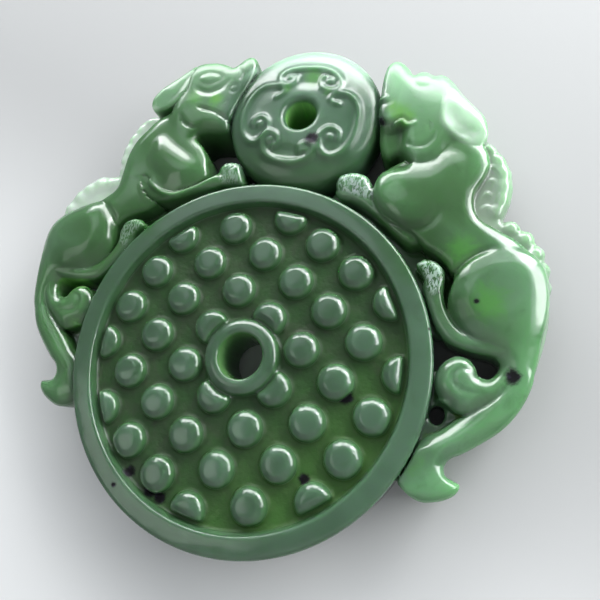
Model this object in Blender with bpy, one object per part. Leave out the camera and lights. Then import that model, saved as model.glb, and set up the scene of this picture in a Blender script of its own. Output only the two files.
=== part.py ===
"""Carved jade pendant: a bi disc with a ring bead above it and a chi dragon climbing each side.

It is one carved stone, so it is one solid. It lies on its back: +Z is the front, +Y is the top of
the pendant, and the origin is under the middle of its box. Each dragon is a mass of simple forms
that flow together, the stone between the forms is cut through in three places on each side, and
the left dragon mirrors the right one.
"""
import math

import bmesh
import bpy
from mathutils import Matrix, Vector

MM = 0.001

# Driving sizes, in millimetres. Heights are counted from the top of the disc's rim, 0, down to
# the back, -THICK. Places are counted from the middle of the disc, with +X to the right.
THICK = 7.5
DISC_RADIUS = 20.0
RIM_WIDTH = 2.2
FIELD_DEPTH = 1.35
BACK_FIELD_DEPTH = 0.6
RING_RADIUS = 3.95
HOLE_RADIUS = 2.45
EDGE = 0.45

BOSS_RADIUS = 1.75
BOSS_TOP = -0.05
BOSS_PITCH = 6.58
BOSS_ROW = 3.77
BOSS_TURN = 17.9
BOSS_CLEARANCE = 0.3
BOSS_ROWS = {0: (-4, -2, 2, 4), 1: (-5, -3, -1, 1, 3, 5), 2: (-4, -2, 0, 2, 4), 3: (-3, -1, 1, 3),
             4: (-2, 0, 2)}

BEAD_RISE = 29.3
BEAD_RADIUS = 9.35
BEAD_TOP = 0.9
BEAD_HOLE_RADIUS = 1.85
BEAD_SHOULDER = 4.75
BEAD_SQUARENESS = 2.3
FACE_DROP = 0.4
SCROLL_RADIUS = 6.5
SCROLL_HALF_ANGLE = 27.0
SCROLL_CURL_RADIUS = 1.05
SCROLL_CURL_TURN = 235.0
SCROLL_HALF_WIDTH = 0.45

DRAGON_BACK = -7.3
TAIL_HOLE = (20.85, -1.5, 0.75, 0.95)

DISC_SIDES = 48
BEAD_SIDES = 32
BOSS_SIDES = 9
DRAGON_VOXEL = 0.3
DRAGON_TRIANGLES = 1650

DISC_Y = DISC_RADIUS - (DISC_RADIUS + BEAD_RISE + BEAD_RADIUS) / 2

JADE_COLOUR = (0.075, 0.245, 0.105, 1.0)
JADE_ROUGHNESS = 0.16


def clear_scene():
    for obj in list(bpy.data.objects):
        bpy.data.objects.remove(obj, do_unlink=True)


def jade_material():
    material = bpy.data.materials.new("jade")
    material.use_nodes = True
    shader = material.node_tree.nodes["Principled BSDF"]
    shader.inputs["Base Color"].default_value = JADE_COLOUR
    shader.inputs["Roughness"].default_value = JADE_ROUGHNESS
    shader.inputs["Metallic"].default_value = 0.0
    return material


def place(x, y, z):
    """A point in the part's frame, in metres, from millimetres beside the disc's middle."""
    return Vector((x * MM, (y + DISC_Y) * MM, (z + THICK) * MM))


def finish_mesh(name, work):
    bmesh.ops.recalc_face_normals(work, faces=work.faces)
    mesh = bpy.data.meshes.new(name)
    work.to_mesh(mesh)
    work.free()
    obj = bpy.data.objects.new(name, mesh)
    bpy.context.scene.collection.objects.link(obj)
    return obj


def as_tool(obj):
    """Keeps a shape out of the model: it only cuts another one or is joined to it."""
    obj.hide_render = True
    obj.display_type = "WIRE"
    return obj


def boolean(obj, operation, tool):
    modifier = obj.modifiers.new(operation.lower() + "_" + tool.name, "BOOLEAN")
    modifier.operation = operation
    modifier.solver = "EXACT"
    modifier.object = tool


def bridge(work, ring_a, ring_b):
    count = len(ring_a)
    for index in range(count):
        after = (index + 1) % count
        work.faces.new((ring_a[index], ring_a[after], ring_b[after], ring_b[index]))


# ---- Curves -----------------------------------------------------------------------------------

def smooth(points, steps, closed=False):
    """A Catmull-Rom curve through points of any dimension."""
    points = [Vector(point) for point in points]
    count = len(points)
    if closed:
        padded = [points[-1]] + points + points[:2]
        spans = count
    else:
        padded = [points[0] * 2 - points[1]] + points + [points[-1] * 2 - points[-2]]
        spans = count - 1
    result = []
    for span in range(spans):
        a, b, c, d = padded[span:span + 4]
        for step in range(steps):
            t = step / steps
            linear = b * 2 + (c - a) * t
            bend = (a * 2 - b * 5 + c * 4 - d) * t ** 2 + (b * 3 - a - c * 3 + d) * t ** 3
            result.append((linear + bend) * 0.5)
    if not closed:
        result.append(points[-1])
    return result


def rounded(corners, steps=2):
    """A closed profile whose corners (radius, height, rounding) are eased by short arcs."""
    profile = []
    for index, (x, y, easing) in enumerate(corners):
        corner = Vector((x, y))
        if easing == 0:
            profile.append(corner)
            continue
        before = Vector(corners[index - 1][:2])
        after = Vector(corners[(index + 1) % len(corners)][:2])
        start = corner + (before - corner).normalized() * easing
        end = corner + (after - corner).normalized() * easing
        for step in range(steps + 1):
            t = step / steps
            profile.append(start * (1 - t) ** 2 + corner * 2 * t * (1 - t) + end * t ** 2)
    return profile


# ---- Forms ------------------------------------------------------------------------------------

def turned(name, profile, sides, centre_y):
    """A closed profile of (radius, height) turned round an upright axis."""
    work = bmesh.new()
    rings = []
    for radius, height in profile:
        ring = []
        for side in range(sides):
            angle = 2 * math.pi * side / sides
            x = radius * math.cos(angle)
            y = radius * math.sin(angle) + centre_y
            ring.append(work.verts.new(place(x, y, height)))
        rings.append(ring)
    for index in range(len(rings)):
        bridge(work, rings[index - 1], rings[index])
    return finish_mesh(name, work)


def squared(value, squareness):
    """cos or sin of a superellipse: squareness 2 is round, more is boxier."""
    return math.copysign(abs(value) ** (2 / squareness), value)


def inset(points, amount):
    """An anticlockwise outline moved inwards along its own normals."""
    result = []
    for index, point in enumerate(points):
        along = points[(index + 1) % len(points)] - points[index - 1]
        inward = Vector((-along.y, along.x)).normalized()
        result.append(point + inward * amount)
    return result


def cushion(work, outline, top, edge, low=DRAGON_BACK - 0.3, dome=0.0, steps=3):
    """Carved stone with a smooth outline, an eased edge and a face that is domed or dished."""
    points = smooth(outline, steps, closed=True)
    area = sum(points[index - 1].cross(points[index]) for index in range(len(points)))
    if area < 0:
        points.reverse()
    levels = [(edge * 0.5, low), (0.0, low + edge * 0.7), (0.0, top - edge),
              (edge * 0.3, top - edge * 0.3), (edge, top)]
    if dome:
        levels.append((edge * 1.8, top + dome))
    rings = []
    for amount, height in levels:
        rings.append([work.verts.new(place(x, y, height)) for x, y in inset(points, amount)])
    for lower, upper in zip(rings, rings[1:]):
        bridge(work, lower, upper)
    work.faces.new(list(reversed(rings[0])))
    work.faces.new(rings[-1])


def lump(work, x, y, long, wide, top, edge=0.4, low=-6.0, turn=0.0):
    """A small button of stone, an ellipse in plan."""
    angle = math.radians(turn)
    outline = []
    for side in range(8):
        around = math.pi * side / 4
        out = Vector((long * math.cos(around), wide * math.sin(around)))
        outline.append(Vector((x, y)) + Matrix.Rotation(angle, 2) @ out)
    cushion(work, outline, top, edge, low, steps=2)


# ---- The disc ---------------------------------------------------------------------------------

def make_disc():
    rim_inside = DISC_RADIUS - RIM_WIDTH
    back = -THICK
    back_field = back + BACK_FIELD_DEPTH
    corners = [
        (DISC_RADIUS, 0.0, EDGE), (DISC_RADIUS, back, EDGE), (rim_inside, back, 0.0),
        (rim_inside - 0.4, back_field, 0.0), (RING_RADIUS + 0.4, back_field, 0.0),
        (RING_RADIUS, back, 0.0), (HOLE_RADIUS, back, EDGE), (HOLE_RADIUS, 0.0, EDGE),
        (RING_RADIUS, 0.0, 0.2), (RING_RADIUS + 0.15, -FIELD_DEPTH, 0.0),
        (rim_inside - 0.15, -FIELD_DEPTH, 0.0), (rim_inside, 0.0, 0.2),
    ]
    return turned("disc", rounded(corners, steps=1), DISC_SIDES, 0.0)


def trimmed(point, inner, outer):
    """Keeps a point between two circles round the disc's middle."""
    distance = max(point.length, 0.001)
    return point * (min(max(distance, inner), outer) / distance)


def make_bosses():
    """Forty low round bosses in staggered rows, trimmed clear of the rim and the ring."""
    work = bmesh.new()
    inner = RING_RADIUS + BOSS_CLEARANCE
    outer = DISC_RADIUS - RIM_WIDTH - BOSS_CLEARANCE
    levels = ((1.0, -FIELD_DEPTH - 0.3), (0.97, -0.45), (0.62, BOSS_TOP))
    turn = Matrix.Rotation(math.radians(BOSS_TURN), 2)
    for row in range(-4, 5):
        for half_pitch in BOSS_ROWS[abs(row)]:
            centre = turn @ Vector((half_pitch * BOSS_PITCH / 2, row * BOSS_ROW))
            rings = []
            for share, height in levels:
                ring = []
                for side in range(BOSS_SIDES):
                    angle = 2 * math.pi * side / BOSS_SIDES
                    out = Vector((math.cos(angle), math.sin(angle))) * BOSS_RADIUS * share
                    ring.append(work.verts.new(place(*trimmed(centre + out, inner, outer), height)))
                rings.append(ring)
            for lower, upper in zip(rings, rings[1:]):
                bridge(work, lower, upper)
            work.faces.new(list(reversed(rings[0])))
            work.faces.new(rings[-1])
    return as_tool(finish_mesh("bosses", work))


# ---- The ring bead ----------------------------------------------------------------------------

def bead_height(distance):
    """Height of the bead's front at a distance from its axis."""
    half_height = (BEAD_TOP - DRAGON_BACK) / 2
    out = max(distance - (BEAD_RADIUS - BEAD_SHOULDER), 0.0) / BEAD_SHOULDER
    share = (1 - out ** BEAD_SQUARENESS) ** (1 / BEAD_SQUARENESS)
    return BEAD_TOP - half_height * (1 - share)


def make_bead():
    """A fat ring: full shoulders, an easy dome on the face and a small round hole."""
    low = DRAGON_BACK
    half_height = (BEAD_TOP - low) / 2
    profile = []
    for degrees in range(-90, 91, 18):
        angle = math.radians(degrees)
        radius = BEAD_RADIUS - BEAD_SHOULDER * (1 - squared(math.cos(angle), BEAD_SQUARENESS))
        height = half_height * (1 + squared(math.sin(angle), BEAD_SQUARENESS))
        profile.append(Vector((radius, low + height)))
    profile.append(Vector((BEAD_HOLE_RADIUS + 1.0, BEAD_TOP)))
    profile.append(Vector((BEAD_HOLE_RADIUS + 0.3, BEAD_TOP - 0.3)))
    profile.append(Vector((BEAD_HOLE_RADIUS, BEAD_TOP - 1.0)))
    profile.append(Vector((BEAD_HOLE_RADIUS, low + 0.9)))
    profile.append(Vector((BEAD_HOLE_RADIUS + 0.9, low)))
    return as_tool(turned("bead", profile, BEAD_SIDES, BEAD_RISE))


def scroll_path():
    """A C-scroll over the hole, as (x, y, half-width): an arc whose ends curl back in."""
    arc = []
    for step in range(-3, 4):
        angle = math.radians(SCROLL_HALF_ANGLE * step / 3)
        arc.append((SCROLL_RADIUS * math.sin(angle), SCROLL_RADIUS * math.cos(angle), SCROLL_HALF_WIDTH))
    reach = SCROLL_RADIUS - SCROLL_CURL_RADIUS
    start = math.radians(SCROLL_HALF_ANGLE)
    curl = []
    for step in range(1, 7):
        angle = math.pi / 2 - start - math.radians(SCROLL_CURL_TURN * step / 6)
        radius = SCROLL_CURL_RADIUS * (1 - 0.4 * step / 6)
        half_width = SCROLL_HALF_WIDTH * (1 - 0.4 * step / 6)
        x = reach * math.sin(start) + radius * math.cos(angle)
        y = reach * math.cos(start) + radius * math.sin(angle)
        curl.append((x, y, half_width))
    mirrored = [(-x, y, half_width) for x, y, half_width in reversed(curl)]
    return mirrored + arc + curl


def make_scrolls():
    """Four C-scrolls round the bead's face, raised by about half their width."""
    work = bmesh.new()
    section = ((-1.0, -0.7), (-0.7, 0.2), (0.7, 0.2), (1.0, -0.7))
    path = scroll_path()
    for quarter in range(4):
        turn = Matrix.Rotation(math.radians(90 * quarter), 2)
        centres = [turn @ Vector(point[:2]) for point in path]
        rings = []
        for index, centre in enumerate(centres):
            along = centres[min(index + 1, len(centres) - 1)] - centres[max(index - 1, 0)]
            across = Vector((-along.y, along.x)).normalized() * path[index][2]
            ring = []
            for out, rise in section:
                x, y = centre + across * out
                y -= FACE_DROP
                height = bead_height(math.hypot(x, y)) + rise
                ring.append(work.verts.new(place(x, y + BEAD_RISE, height)))
            rings.append(ring)
        for first, second in zip(rings, rings[1:]):
            bridge(work, first, second)
        work.faces.new(rings[0])
        work.faces.new(list(reversed(rings[-1])))
    return as_tool(finish_mesh("scrolls", work))


# ---- The dragons ------------------------------------------------------------------------------

def add_trunk(work):
    """Neck, breast, back and loins as one level form, with the back as its crisp outer edge."""
    trunk = [(13.2, 30.5), (12.6, 27.0), (13.0, 25.2), (11.6, 23.9), (10.6, 22.4), (10.3, 20.8),
             (10.7, 19.3), (12.0, 17.9), (13.6, 17.0), (15.2, 16.2), (16.6, 15.1), (17.9, 14.4),
             (19.3, 13.4), (20.0, 12.0), (19.8, 10.4), (20.2, 8.8), (21.2, 7.4), (22.6, 6.3),
             (24.2, 5.4), (25.6, 4.6), (26.4, 3.6), (27.4, 2.4), (28.6, 2.2), (28.9, 4.5),
             (29.0, 7.0), (29.0, 9.6), (28.9, 11.8), (28.5, 13.5), (27.8, 14.9), (26.8, 16.0),
             (25.4, 17.0), (22.8, 18.2), (21.6, 18.9), (20.95, 20.1), (20.75, 21.2), (20.9, 22.2),
             (21.4, 23.4), (21.75, 24.6), (21.6, 26.0), (20.9, 27.2), (19.2, 28.2), (17.0, 31.0)]
    cushion(work, trunk, -0.2, 0.9, dome=0.25, steps=2)


def add_shoulder_and_haunch(work):
    shoulder = [(10.45, 20.9), (10.9, 22.6), (12.0, 23.8), (13.5, 24.35), (15.4, 24.5), (17.2, 24.3),
                (18.0, 22.8), (17.9, 20.6), (17.0, 18.6), (15.8, 17.5), (14.0, 17.0), (12.0, 17.8),
                (10.8, 19.3)]
    cushion(work, shoulder, 0.35, 1.2, dome=0.3)
    haunch = [(20.1, 10.2), (20.1, 11.5), (20.45, 12.6), (21.3, 13.8), (22.6, 14.8), (24.2, 15.3),
              (26.0, 15.3), (27.4, 14.4), (28.3, 12.8), (28.6, 10.6), (28.4, 8.2), (27.4, 6.4),
              (25.6, 5.8), (23.6, 6.3), (21.9, 7.2), (20.7, 8.6)]
    cushion(work, haunch, 0.5, 1.2, dome=0.25)


def add_legs(work):
    """A forearm along the rim, a shin along it lower down, and a paw at the end of each."""
    forearm = [(5.9, 20.3), (6.6, 19.4), (8.2, 19.2), (10.0, 18.4), (11.9, 17.1), (13.6, 15.9),
               (15.2, 15.2), (16.4, 15.9), (15.6, 16.6), (13.6, 17.2), (11.9, 18.2), (10.6, 19.4),
               (9.9, 20.3), (8.0, 20.9)]
    cushion(work, forearm, -0.85, 0.5)
    front_paw = [(5.85, 21.2), (6.2, 22.1), (7.2, 22.5), (8.4, 22.5), (9.4, 22.2), (9.9, 21.3),
                 (10.4, 20.2), (9.8, 19.5), (8.6, 19.8), (7.4, 20.0), (6.4, 20.3)]
    cushion(work, front_paw, -0.2, 0.6)
    shin = [(17.3, 11.2), (17.7, 9.6), (18.6, 7.9), (19.6, 6.5), (20.6, 5.4), (22.2, 4.95),
            (24.3, 4.5), (26.0, 4.6), (26.6, 5.8), (25.6, 6.6), (24.0, 6.3), (22.6, 6.25),
            (21.3, 6.8), (20.3, 7.7), (19.5, 8.9), (19.1, 10.2), (18.8, 11.3)]
    cushion(work, shin, -0.7, 0.5)
    hind_paw = [(16.25, 12.9), (16.6, 13.5), (17.3, 13.75), (18.2, 13.6), (19.0, 13.0), (19.35, 12.1),
                (19.3, 11.0), (19.0, 10.2), (18.2, 9.9), (17.6, 10.6), (17.2, 11.7)]
    cushion(work, hind_paw, -0.2, 0.6)


def add_tail(work):
    """The tail sweeps out and down to a hook, and its side branch curls over beside the disc."""
    tail = [(27.6, 4.6), (28.9, 3.6), (28.5, 1.4), (27.8, -0.3), (26.8, -1.8), (25.3, -3.3),
            (23.8, -4.6), (22.8, -5.3), (22.35, -6.1), (22.55, -6.9), (23.3, -7.25), (23.95, -7.5),
            (23.75, -8.3), (23.0, -9.0), (22.0, -9.5), (20.8, -9.8), (19.6, -9.5), (18.3, -8.6),
            (17.6, -7.8), (18.9, -5.6), (19.8, -4.2), (20.6, -3.5), (21.4, -2.9), (22.8, -1.55),
            (24.0, -0.5), (25.0, 0.35), (26.0, 1.5), (26.9, 3.0)]
    cushion(work, tail, -0.8, 0.7, steps=2)
    branch = [(20.0, 1.4), (20.2, 2.8), (20.8, 3.8), (21.8, 4.4), (22.9, 4.2), (23.6, 3.4), (23.9, 2.7),
              (24.5, 2.5), (25.2, 2.75), (25.7, 3.5), (26.2, 4.7), (27.4, 4.4), (27.3, 2.8),
              (26.3, 1.2), (25.0, 0.1), (23.6, -0.9), (22.5, -1.0), (21.7, -0.3), (20.6, 0.3)]
    cushion(work, branch, -0.5, 0.6, steps=2)


def add_mane(work):
    """The thin flange outside the back, with locks behind the neck and beads along the spine."""
    flange = [(20.2, 29.2), (21.3, 28.2), (22.0, 27.6), (22.7, 26.6), (23.5, 25.9), (24.05, 24.6),
              (24.45, 23.0), (24.35, 21.5), (24.0, 20.3), (24.1, 19.4), (25.2, 19.2), (26.4, 18.3),
              (27.9, 17.1), (28.7, 15.5), (29.2, 13.6), (29.5, 11.8), (29.75, 9.8), (29.7, 7.8),
              (29.4, 5.6), (28.9, 3.4), (27.5, 3.4), (26.0, 8.0), (22.0, 14.0), (18.0, 18.0),
              (17.5, 26.0)]
    cushion(work, flange, -1.5, 0.6, low=-6.3, steps=2)
    locks = ((21.9, 27.4, 30), (22.9, 26.2, -45), (23.6, 24.9, -60), (23.8, 23.2, -85), (23.7, 21.6, -95),
             (23.4, 20.2, -60))
    for x, y, turn in locks:
        lump(work, x, y, 0.9, 0.65, -0.95, turn=turn)
    for x, y in ((25.1, 18.7), (26.8, 17.5), (28.0, 15.9), (28.8, 14.3)):
        lump(work, x, y, 0.8, 0.8, -0.85)


def add_head(work):
    """The skull with its snout lifted, a lower jaw set back, a full cheek, an eye and a dished ear."""
    skull = [(8.85, 34.3), (9.05, 35.5), (9.75, 36.2), (10.7, 35.9), (11.5, 35.05), (12.3, 34.85),
             (13.1, 35.4), (13.9, 35.05), (15.2, 35.05), (16.5, 34.05), (17.5, 32.7), (18.5, 31.5),
             (19.9, 30.4), (20.8, 29.2), (20.9, 28.1), (19.6, 27.3), (18.0, 27.4), (16.0, 27.0),
             (13.5, 28.2), (12.0, 29.1), (10.5, 29.0), (9.0, 29.3), (8.7, 32.6)]
    cushion(work, skull, 0.0, 0.9, dome=0.25, steps=2)
    jaw = [(8.8, 29.8), (9.3, 28.2), (10.0, 27.0), (11.6, 26.7), (12.8, 26.0), (14.5, 27.0), (13.0, 29.6)]
    cushion(work, jaw, -1.0, 0.5)
    cheek = [(12.2, 28.6), (12.5, 26.6), (13.3, 25.1), (14.4, 24.3), (15.6, 24.7), (16.6, 25.9),
             (16.9, 27.6), (16.2, 29.6), (14.6, 30.4), (12.9, 29.9)]
    cushion(work, cheek, 0.45, 1.1, dome=0.3)
    lump(work, 13.1, 33.7, 1.05, 0.95, 0.7)
    ear = [(16.0, 32.0), (15.85, 30.2), (16.4, 28.9), (17.5, 28.0), (19.0, 27.65), (20.6, 27.8),
           (21.1, 28.7), (20.7, 29.8), (19.7, 30.9), (18.4, 31.9), (17.3, 32.7)]
    cushion(work, ear, 0.75, 0.6, dome=-0.45, steps=2)


def add_floor(work):
    """Lower stone that ties the dragon to the disc and its own limbs to each other."""
    front = [(4.6, 19.2), (6.0, 21.6), (9.6, 22.0), (11.2, 20.5), (14.5, 17.6), (16.5, 15.2),
             (18.5, 14.0), (20.8, 12.0), (20.9, 7.6), (20.8, 6.6), (19.4, 6.2), (17.0, 8.0),
             (12.0, 14.5), (6.0, 18.2)]
    cushion(work, front, -2.9, 0.4, low=-6.8, steps=2)
    rear = [(19.0, 2.6), (20.6, 2.9), (24.5, 2.4), (27.0, 2.9), (27.0, 0.6), (23.5, -2.9), (20.5, -5.4),
            (18.0, -7.4), (18.0, -1.0)]
    cushion(work, rear, -2.6, 0.4, low=-6.9, steps=2)


def dragon_hole():
    """The small drilled hole between the side branch, the tail and the disc."""
    work = bmesh.new()
    lump(work, *TAIL_HOLE, top=4.0, edge=0.01, low=-12.0)
    return as_tool(finish_mesh("tail_hole", work))


def space_above_back():
    """The room above the plane that the dragons' backs lie in, a hair over the disc's back."""
    work = bmesh.new()
    bmesh.ops.create_cube(work, size=1.0)
    for vertex in work.verts:
        vertex.co.x *= 90 * MM
        vertex.co.y *= 90 * MM
        vertex.co.z = vertex.co.z * 20 * MM + (THICK + DRAGON_BACK + 10) * MM
    return as_tool(finish_mesh("space_above_back", work))


def make_dragons():
    work = bmesh.new()
    add_trunk(work)
    add_shoulder_and_haunch(work)
    add_legs(work)
    add_tail(work)
    add_mane(work)
    add_head(work)
    add_floor(work)
    dragons = as_tool(finish_mesh("dragons", work))
    fuse = dragons.modifiers.new("fuse", "REMESH")
    fuse.mode = "VOXEL"
    fuse.voxel_size = DRAGON_VOXEL * MM
    mesh = dragons.evaluated_get(bpy.context.evaluated_depsgraph_get()).to_mesh()
    thin = dragons.modifiers.new("thin", "DECIMATE")
    thin.ratio = DRAGON_TRIANGLES / sum(len(face.vertices) - 2 for face in mesh.polygons)
    thin.use_collapse_triangulate = True
    boolean(dragons, "DIFFERENCE", dragon_hole())
    boolean(dragons, "INTERSECT", space_above_back())
    mirror = dragons.modifiers.new("left_dragon", "MIRROR")
    mirror.use_mirror_merge = False
    return dragons


def main():
    clear_scene()
    pendant = make_disc()
    pendant.name = "jade_pendant"
    boolean(pendant, "UNION", make_bosses())
    bead = make_bead()
    boolean(bead, "UNION", make_scrolls())
    boolean(pendant, "UNION", bead)
    boolean(pendant, "UNION", make_dragons())
    pendant.data.materials.append(jade_material())
    pendant.data.shade_smooth()
    pendant.data.set_sharp_from_angle(angle=math.radians(40))


main()
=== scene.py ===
"""Looks for the carved jade pendant: the fine carving as one mesh, the stone's finish, and a plain studio.

The carving is worked out as a block of distances to the stone's surface, on an even grid, in
millimetres. Each form is blended into the block or cut from it, and the zero level becomes the mesh.
"""

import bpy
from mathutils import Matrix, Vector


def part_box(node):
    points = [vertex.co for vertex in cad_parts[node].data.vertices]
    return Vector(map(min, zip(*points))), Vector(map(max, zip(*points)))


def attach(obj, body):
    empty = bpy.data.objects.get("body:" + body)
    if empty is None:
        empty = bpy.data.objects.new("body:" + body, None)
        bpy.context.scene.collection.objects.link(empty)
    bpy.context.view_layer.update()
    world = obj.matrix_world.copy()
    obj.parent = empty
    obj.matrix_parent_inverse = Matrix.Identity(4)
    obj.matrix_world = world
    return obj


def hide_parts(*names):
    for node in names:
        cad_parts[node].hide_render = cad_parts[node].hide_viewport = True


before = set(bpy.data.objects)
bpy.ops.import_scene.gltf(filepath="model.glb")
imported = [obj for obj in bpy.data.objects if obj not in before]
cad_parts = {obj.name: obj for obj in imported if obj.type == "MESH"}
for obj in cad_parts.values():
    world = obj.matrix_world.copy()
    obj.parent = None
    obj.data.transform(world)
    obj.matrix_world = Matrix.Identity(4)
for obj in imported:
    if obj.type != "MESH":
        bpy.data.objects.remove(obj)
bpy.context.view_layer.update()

import math

import bpy
import numpy as np
from mathutils import Matrix, Vector

MM = 0.001
NODE = "jade_pendant"

# Driving sizes in millimetres. Heights are counted from the top of the disc's rim down to the back,
# -THICK. Places are counted from the middle of the disc. What reaches past the back is cut flat there.
THICK = 7.5
PAST_BACK = -7.7
LIMB_LOW = -7.4
DISC_RADIUS = 20.0
RIM_INSIDE = 17.75
FIELD_DEPTH = 1.35
BACK_FIELD_DEPTH = 0.6
RING_RADIUS = 3.95
HOLE_RADIUS = 2.45

BOSS_RADIUS = 1.76
BOSS_TOP = 1.06
BOSS_PITCH = 6.58
BOSS_ROW = 3.77
BOSS_TURN = 17.9
BOSS_EDGE = 0.2
BOSS_DRAFT = 0.15
BOSS_SLOPE = 0.54

BEAD_RISE = 29.25
BEAD_RADIUS = 9.4
BEAD_TOP = 0.8
BEAD_LOW = -7.45
BEAD_SHOULDER = 3.3
BEAD_SQUARENESS = 2.5
BEAD_CREST = 0.98
BEAD_CREST_RADIUS = 2.4
BEAD_HOLE_RADIUS = 1.85
FACE_RISE = 28.8

# The four scrolls on the bead, as paths through their curls, and the hearts that they curl round.
SCROLLS = (
    ((-1.45, 33.6), (-1.6, 32.85), (-2.3, 32.35), (-3.1, 32.7), (-3.45, 33.6), (-2.8, 34.4), (-1.5, 34.85),
     (0.0, 35.0), (1.6, 35.0), (3.0, 34.5), (3.9, 33.5), (3.9, 32.45), (2.95, 31.95), (1.95, 32.4),
     (1.6, 33.3), (1.9, 33.9)),
    ((-3.3, 30.6), (-2.6, 31.2), (-2.8, 32.0), (-3.9, 32.35), (-5.4, 32.0), (-6.5, 30.7), (-7.0, 28.9),
     (-7.0, 27.2), (-6.4, 25.6), (-5.1, 24.7), (-3.95, 25.0), (-3.35, 26.2), (-3.5, 27.3), (-4.4, 27.95),
     (-5.3, 27.6), (-5.5, 26.9)),
    ((-2.2, 24.3), (-1.75, 24.9), (-2.1, 25.7), (-2.9, 26.0), (-3.6, 25.4), (-3.6, 24.4), (-3.05, 23.4),
     (-1.8, 22.75), (0.2, 22.55), (1.8, 23.05), (2.65, 23.9), (2.45, 24.75), (1.6, 25.0), (1.0, 24.5),
     (1.1, 23.9)),
    ((4.3, 30.3), (3.5, 30.5), (3.35, 31.2), (4.2, 31.75), (5.4, 31.65), (6.5, 30.5), (6.95, 28.4),
     (6.75, 26.3), (6.0, 24.7), (4.75, 23.8), (3.6, 24.2), (3.1, 25.3), (3.2, 26.5), (4.1, 27.2),
     (5.1, 26.8), (5.2, 26.0)),
)
HEARTS = ((-2.25, 33.4), (2.7, 33.3), (-4.5, 27.0), (-2.75, 25.05), (1.75, 24.2), (4.2, 26.1))
SCROLL_BAND = 0.46
SCROLL_HEIGHT = 0.36
SCROLL_FLOOR = -2.4

# Each dragon's own block starts a little past the middle. Above a level, seams part the dragons from
# the disc and the bead. A hole is drilled through each tail, and light shows in one opening.
HALF_START = -2.0
SEAM_LOW = -2.6
DISC_SEAM = 0.2
BEAD_SEAM = 0.15
TAIL_HOLE = (20.85, -1.5)
LIT_OPENING = (-23.8, 4.7)

# The grid's pitch, and how far the block reaches to the sides, up the pendant and above the rim.
VOXEL = 0.17
MARGIN = 1.0
REACH = (31.0, 40.0, 2.0)
TRIANGLES = 190_000

REAL = np.float32


# ---- Blending and curves ----------------------------------------------------------------------

def smooth_min(a, b, soft):
    """The nearer of two surfaces, with their crease eased over a width."""
    share = np.maximum(soft - np.abs(a - b), 0.0) / soft
    return np.minimum(a, b) - share * share * soft * 0.25


def smooth_max(a, b, soft):
    return -smooth_min(-a, -b, soft)


def eased_corner(out, up, easing):
    """Joins a side distance and a face distance with a rounded edge."""
    out = out + easing
    up = up + easing
    beyond = np.sqrt(np.maximum(out, 0.0) ** 2 + np.maximum(up, 0.0) ** 2)
    return np.minimum(np.maximum(out, up), 0.0) + beyond - easing


def ease(value, low, high):
    """A smooth step from 0 at the low value to 1 at the high one."""
    t = np.clip((value - low) / (high - low), 0.0, 1.0)
    return t * t * (3.0 - 2.0 * t)


def spline(points, steps=6, closed=False):
    """A soft curve through the points, with every column carried along."""
    points = np.asarray(points, float)
    if closed:
        padded = np.vstack([points[-1:], points, points[:2]])
    else:
        padded = np.vstack([2 * points[0] - points[1], points, 2 * points[-1] - points[-2]])
    t = (np.arange(steps) / steps)[:, None]
    parts = []
    for a, b, c, d in zip(padded, padded[1:], padded[2:], padded[3:]):
        straight = 2 * b + (c - a) * t
        bend = (2 * a - 5 * b + 4 * c - d) * t ** 2 + (3 * b - a - 3 * c + d) * t ** 3
        parts.append(0.5 * (straight + bend))
    if not closed:
        parts.append(points[-1:])
    return np.vstack(parts)


def along(x, y, line):
    """Distance in plan to a path, and the path's extra columns at its nearest point."""
    nearest = None
    for a, b in zip(line[:-1], line[1:]):
        step = (b - a).astype(REAL)
        dx, dy = x - REAL(a[0]), y - REAL(a[1])
        length = max(float(step[0] ** 2 + step[1] ** 2), 1e-12)
        t = np.clip((dx * step[0] + dy * step[1]) / length, 0.0, 1.0)
        distance = (dx - t * step[0]) ** 2 + (dy - t * step[1]) ** 2
        columns = [REAL(a[k]) + t * step[k] for k in range(2, len(a))]
        if nearest is None:
            nearest, carried = distance, columns
            continue
        closer = distance < nearest
        nearest = np.where(closer, distance, nearest)
        carried = [np.where(closer, new, old) for new, old in zip(columns, carried)]
    return np.sqrt(nearest), carried


def within(x, y, ring):
    """Signed distance in plan to a closed outline, negative inside."""
    loop = np.vstack([ring, ring[:1]])
    distance, _ = along(x, y, loop)
    odd = np.zeros(distance.shape, bool)
    for a, b in zip(loop[:-1], loop[1:]):
        if a[1] == b[1]:
            continue
        low, high = sorted((a[1], b[1]))
        crossing = a[0] + (y - a[1]) * (b[0] - a[0]) / (b[1] - a[1])
        odd ^= ((y >= low) & (y < high)) & (x < crossing)
    return np.where(odd, -distance, distance).astype(REAL)


# ---- The block of stone -----------------------------------------------------------------------

class Stone:
    """Distances to the stone's surface on an even grid, negative inside the stone."""

    def __init__(self, x, y, z):
        self.x, self.y, self.z = x, y, z
        self.field = np.full((len(x), len(y), len(z)), 3.0, REAL)

    def window(self, low, high, margin=MARGIN):
        cut = []
        for axis, a, b in zip((self.x, self.y, self.z), low, high):
            first = int(np.searchsorted(axis, a - margin))
            last = int(np.searchsorted(axis, b + margin))
            cut.append(slice(first, max(last, first + 1)))
        return tuple(cut)

    def plan(self, cut):
        return self.x[cut[0]][:, None], self.y[cut[1]][None, :]

    def blend(self, cut, form, soft, mode, gap):
        here = self.field[cut]
        if mode == "cut":
            self.field[cut] = smooth_max(here, -form, soft)
            return
        if gap:
            here = smooth_max(here, gap - form, 0.2)
        self.field[cut] = smooth_min(here, form, soft)


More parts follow.
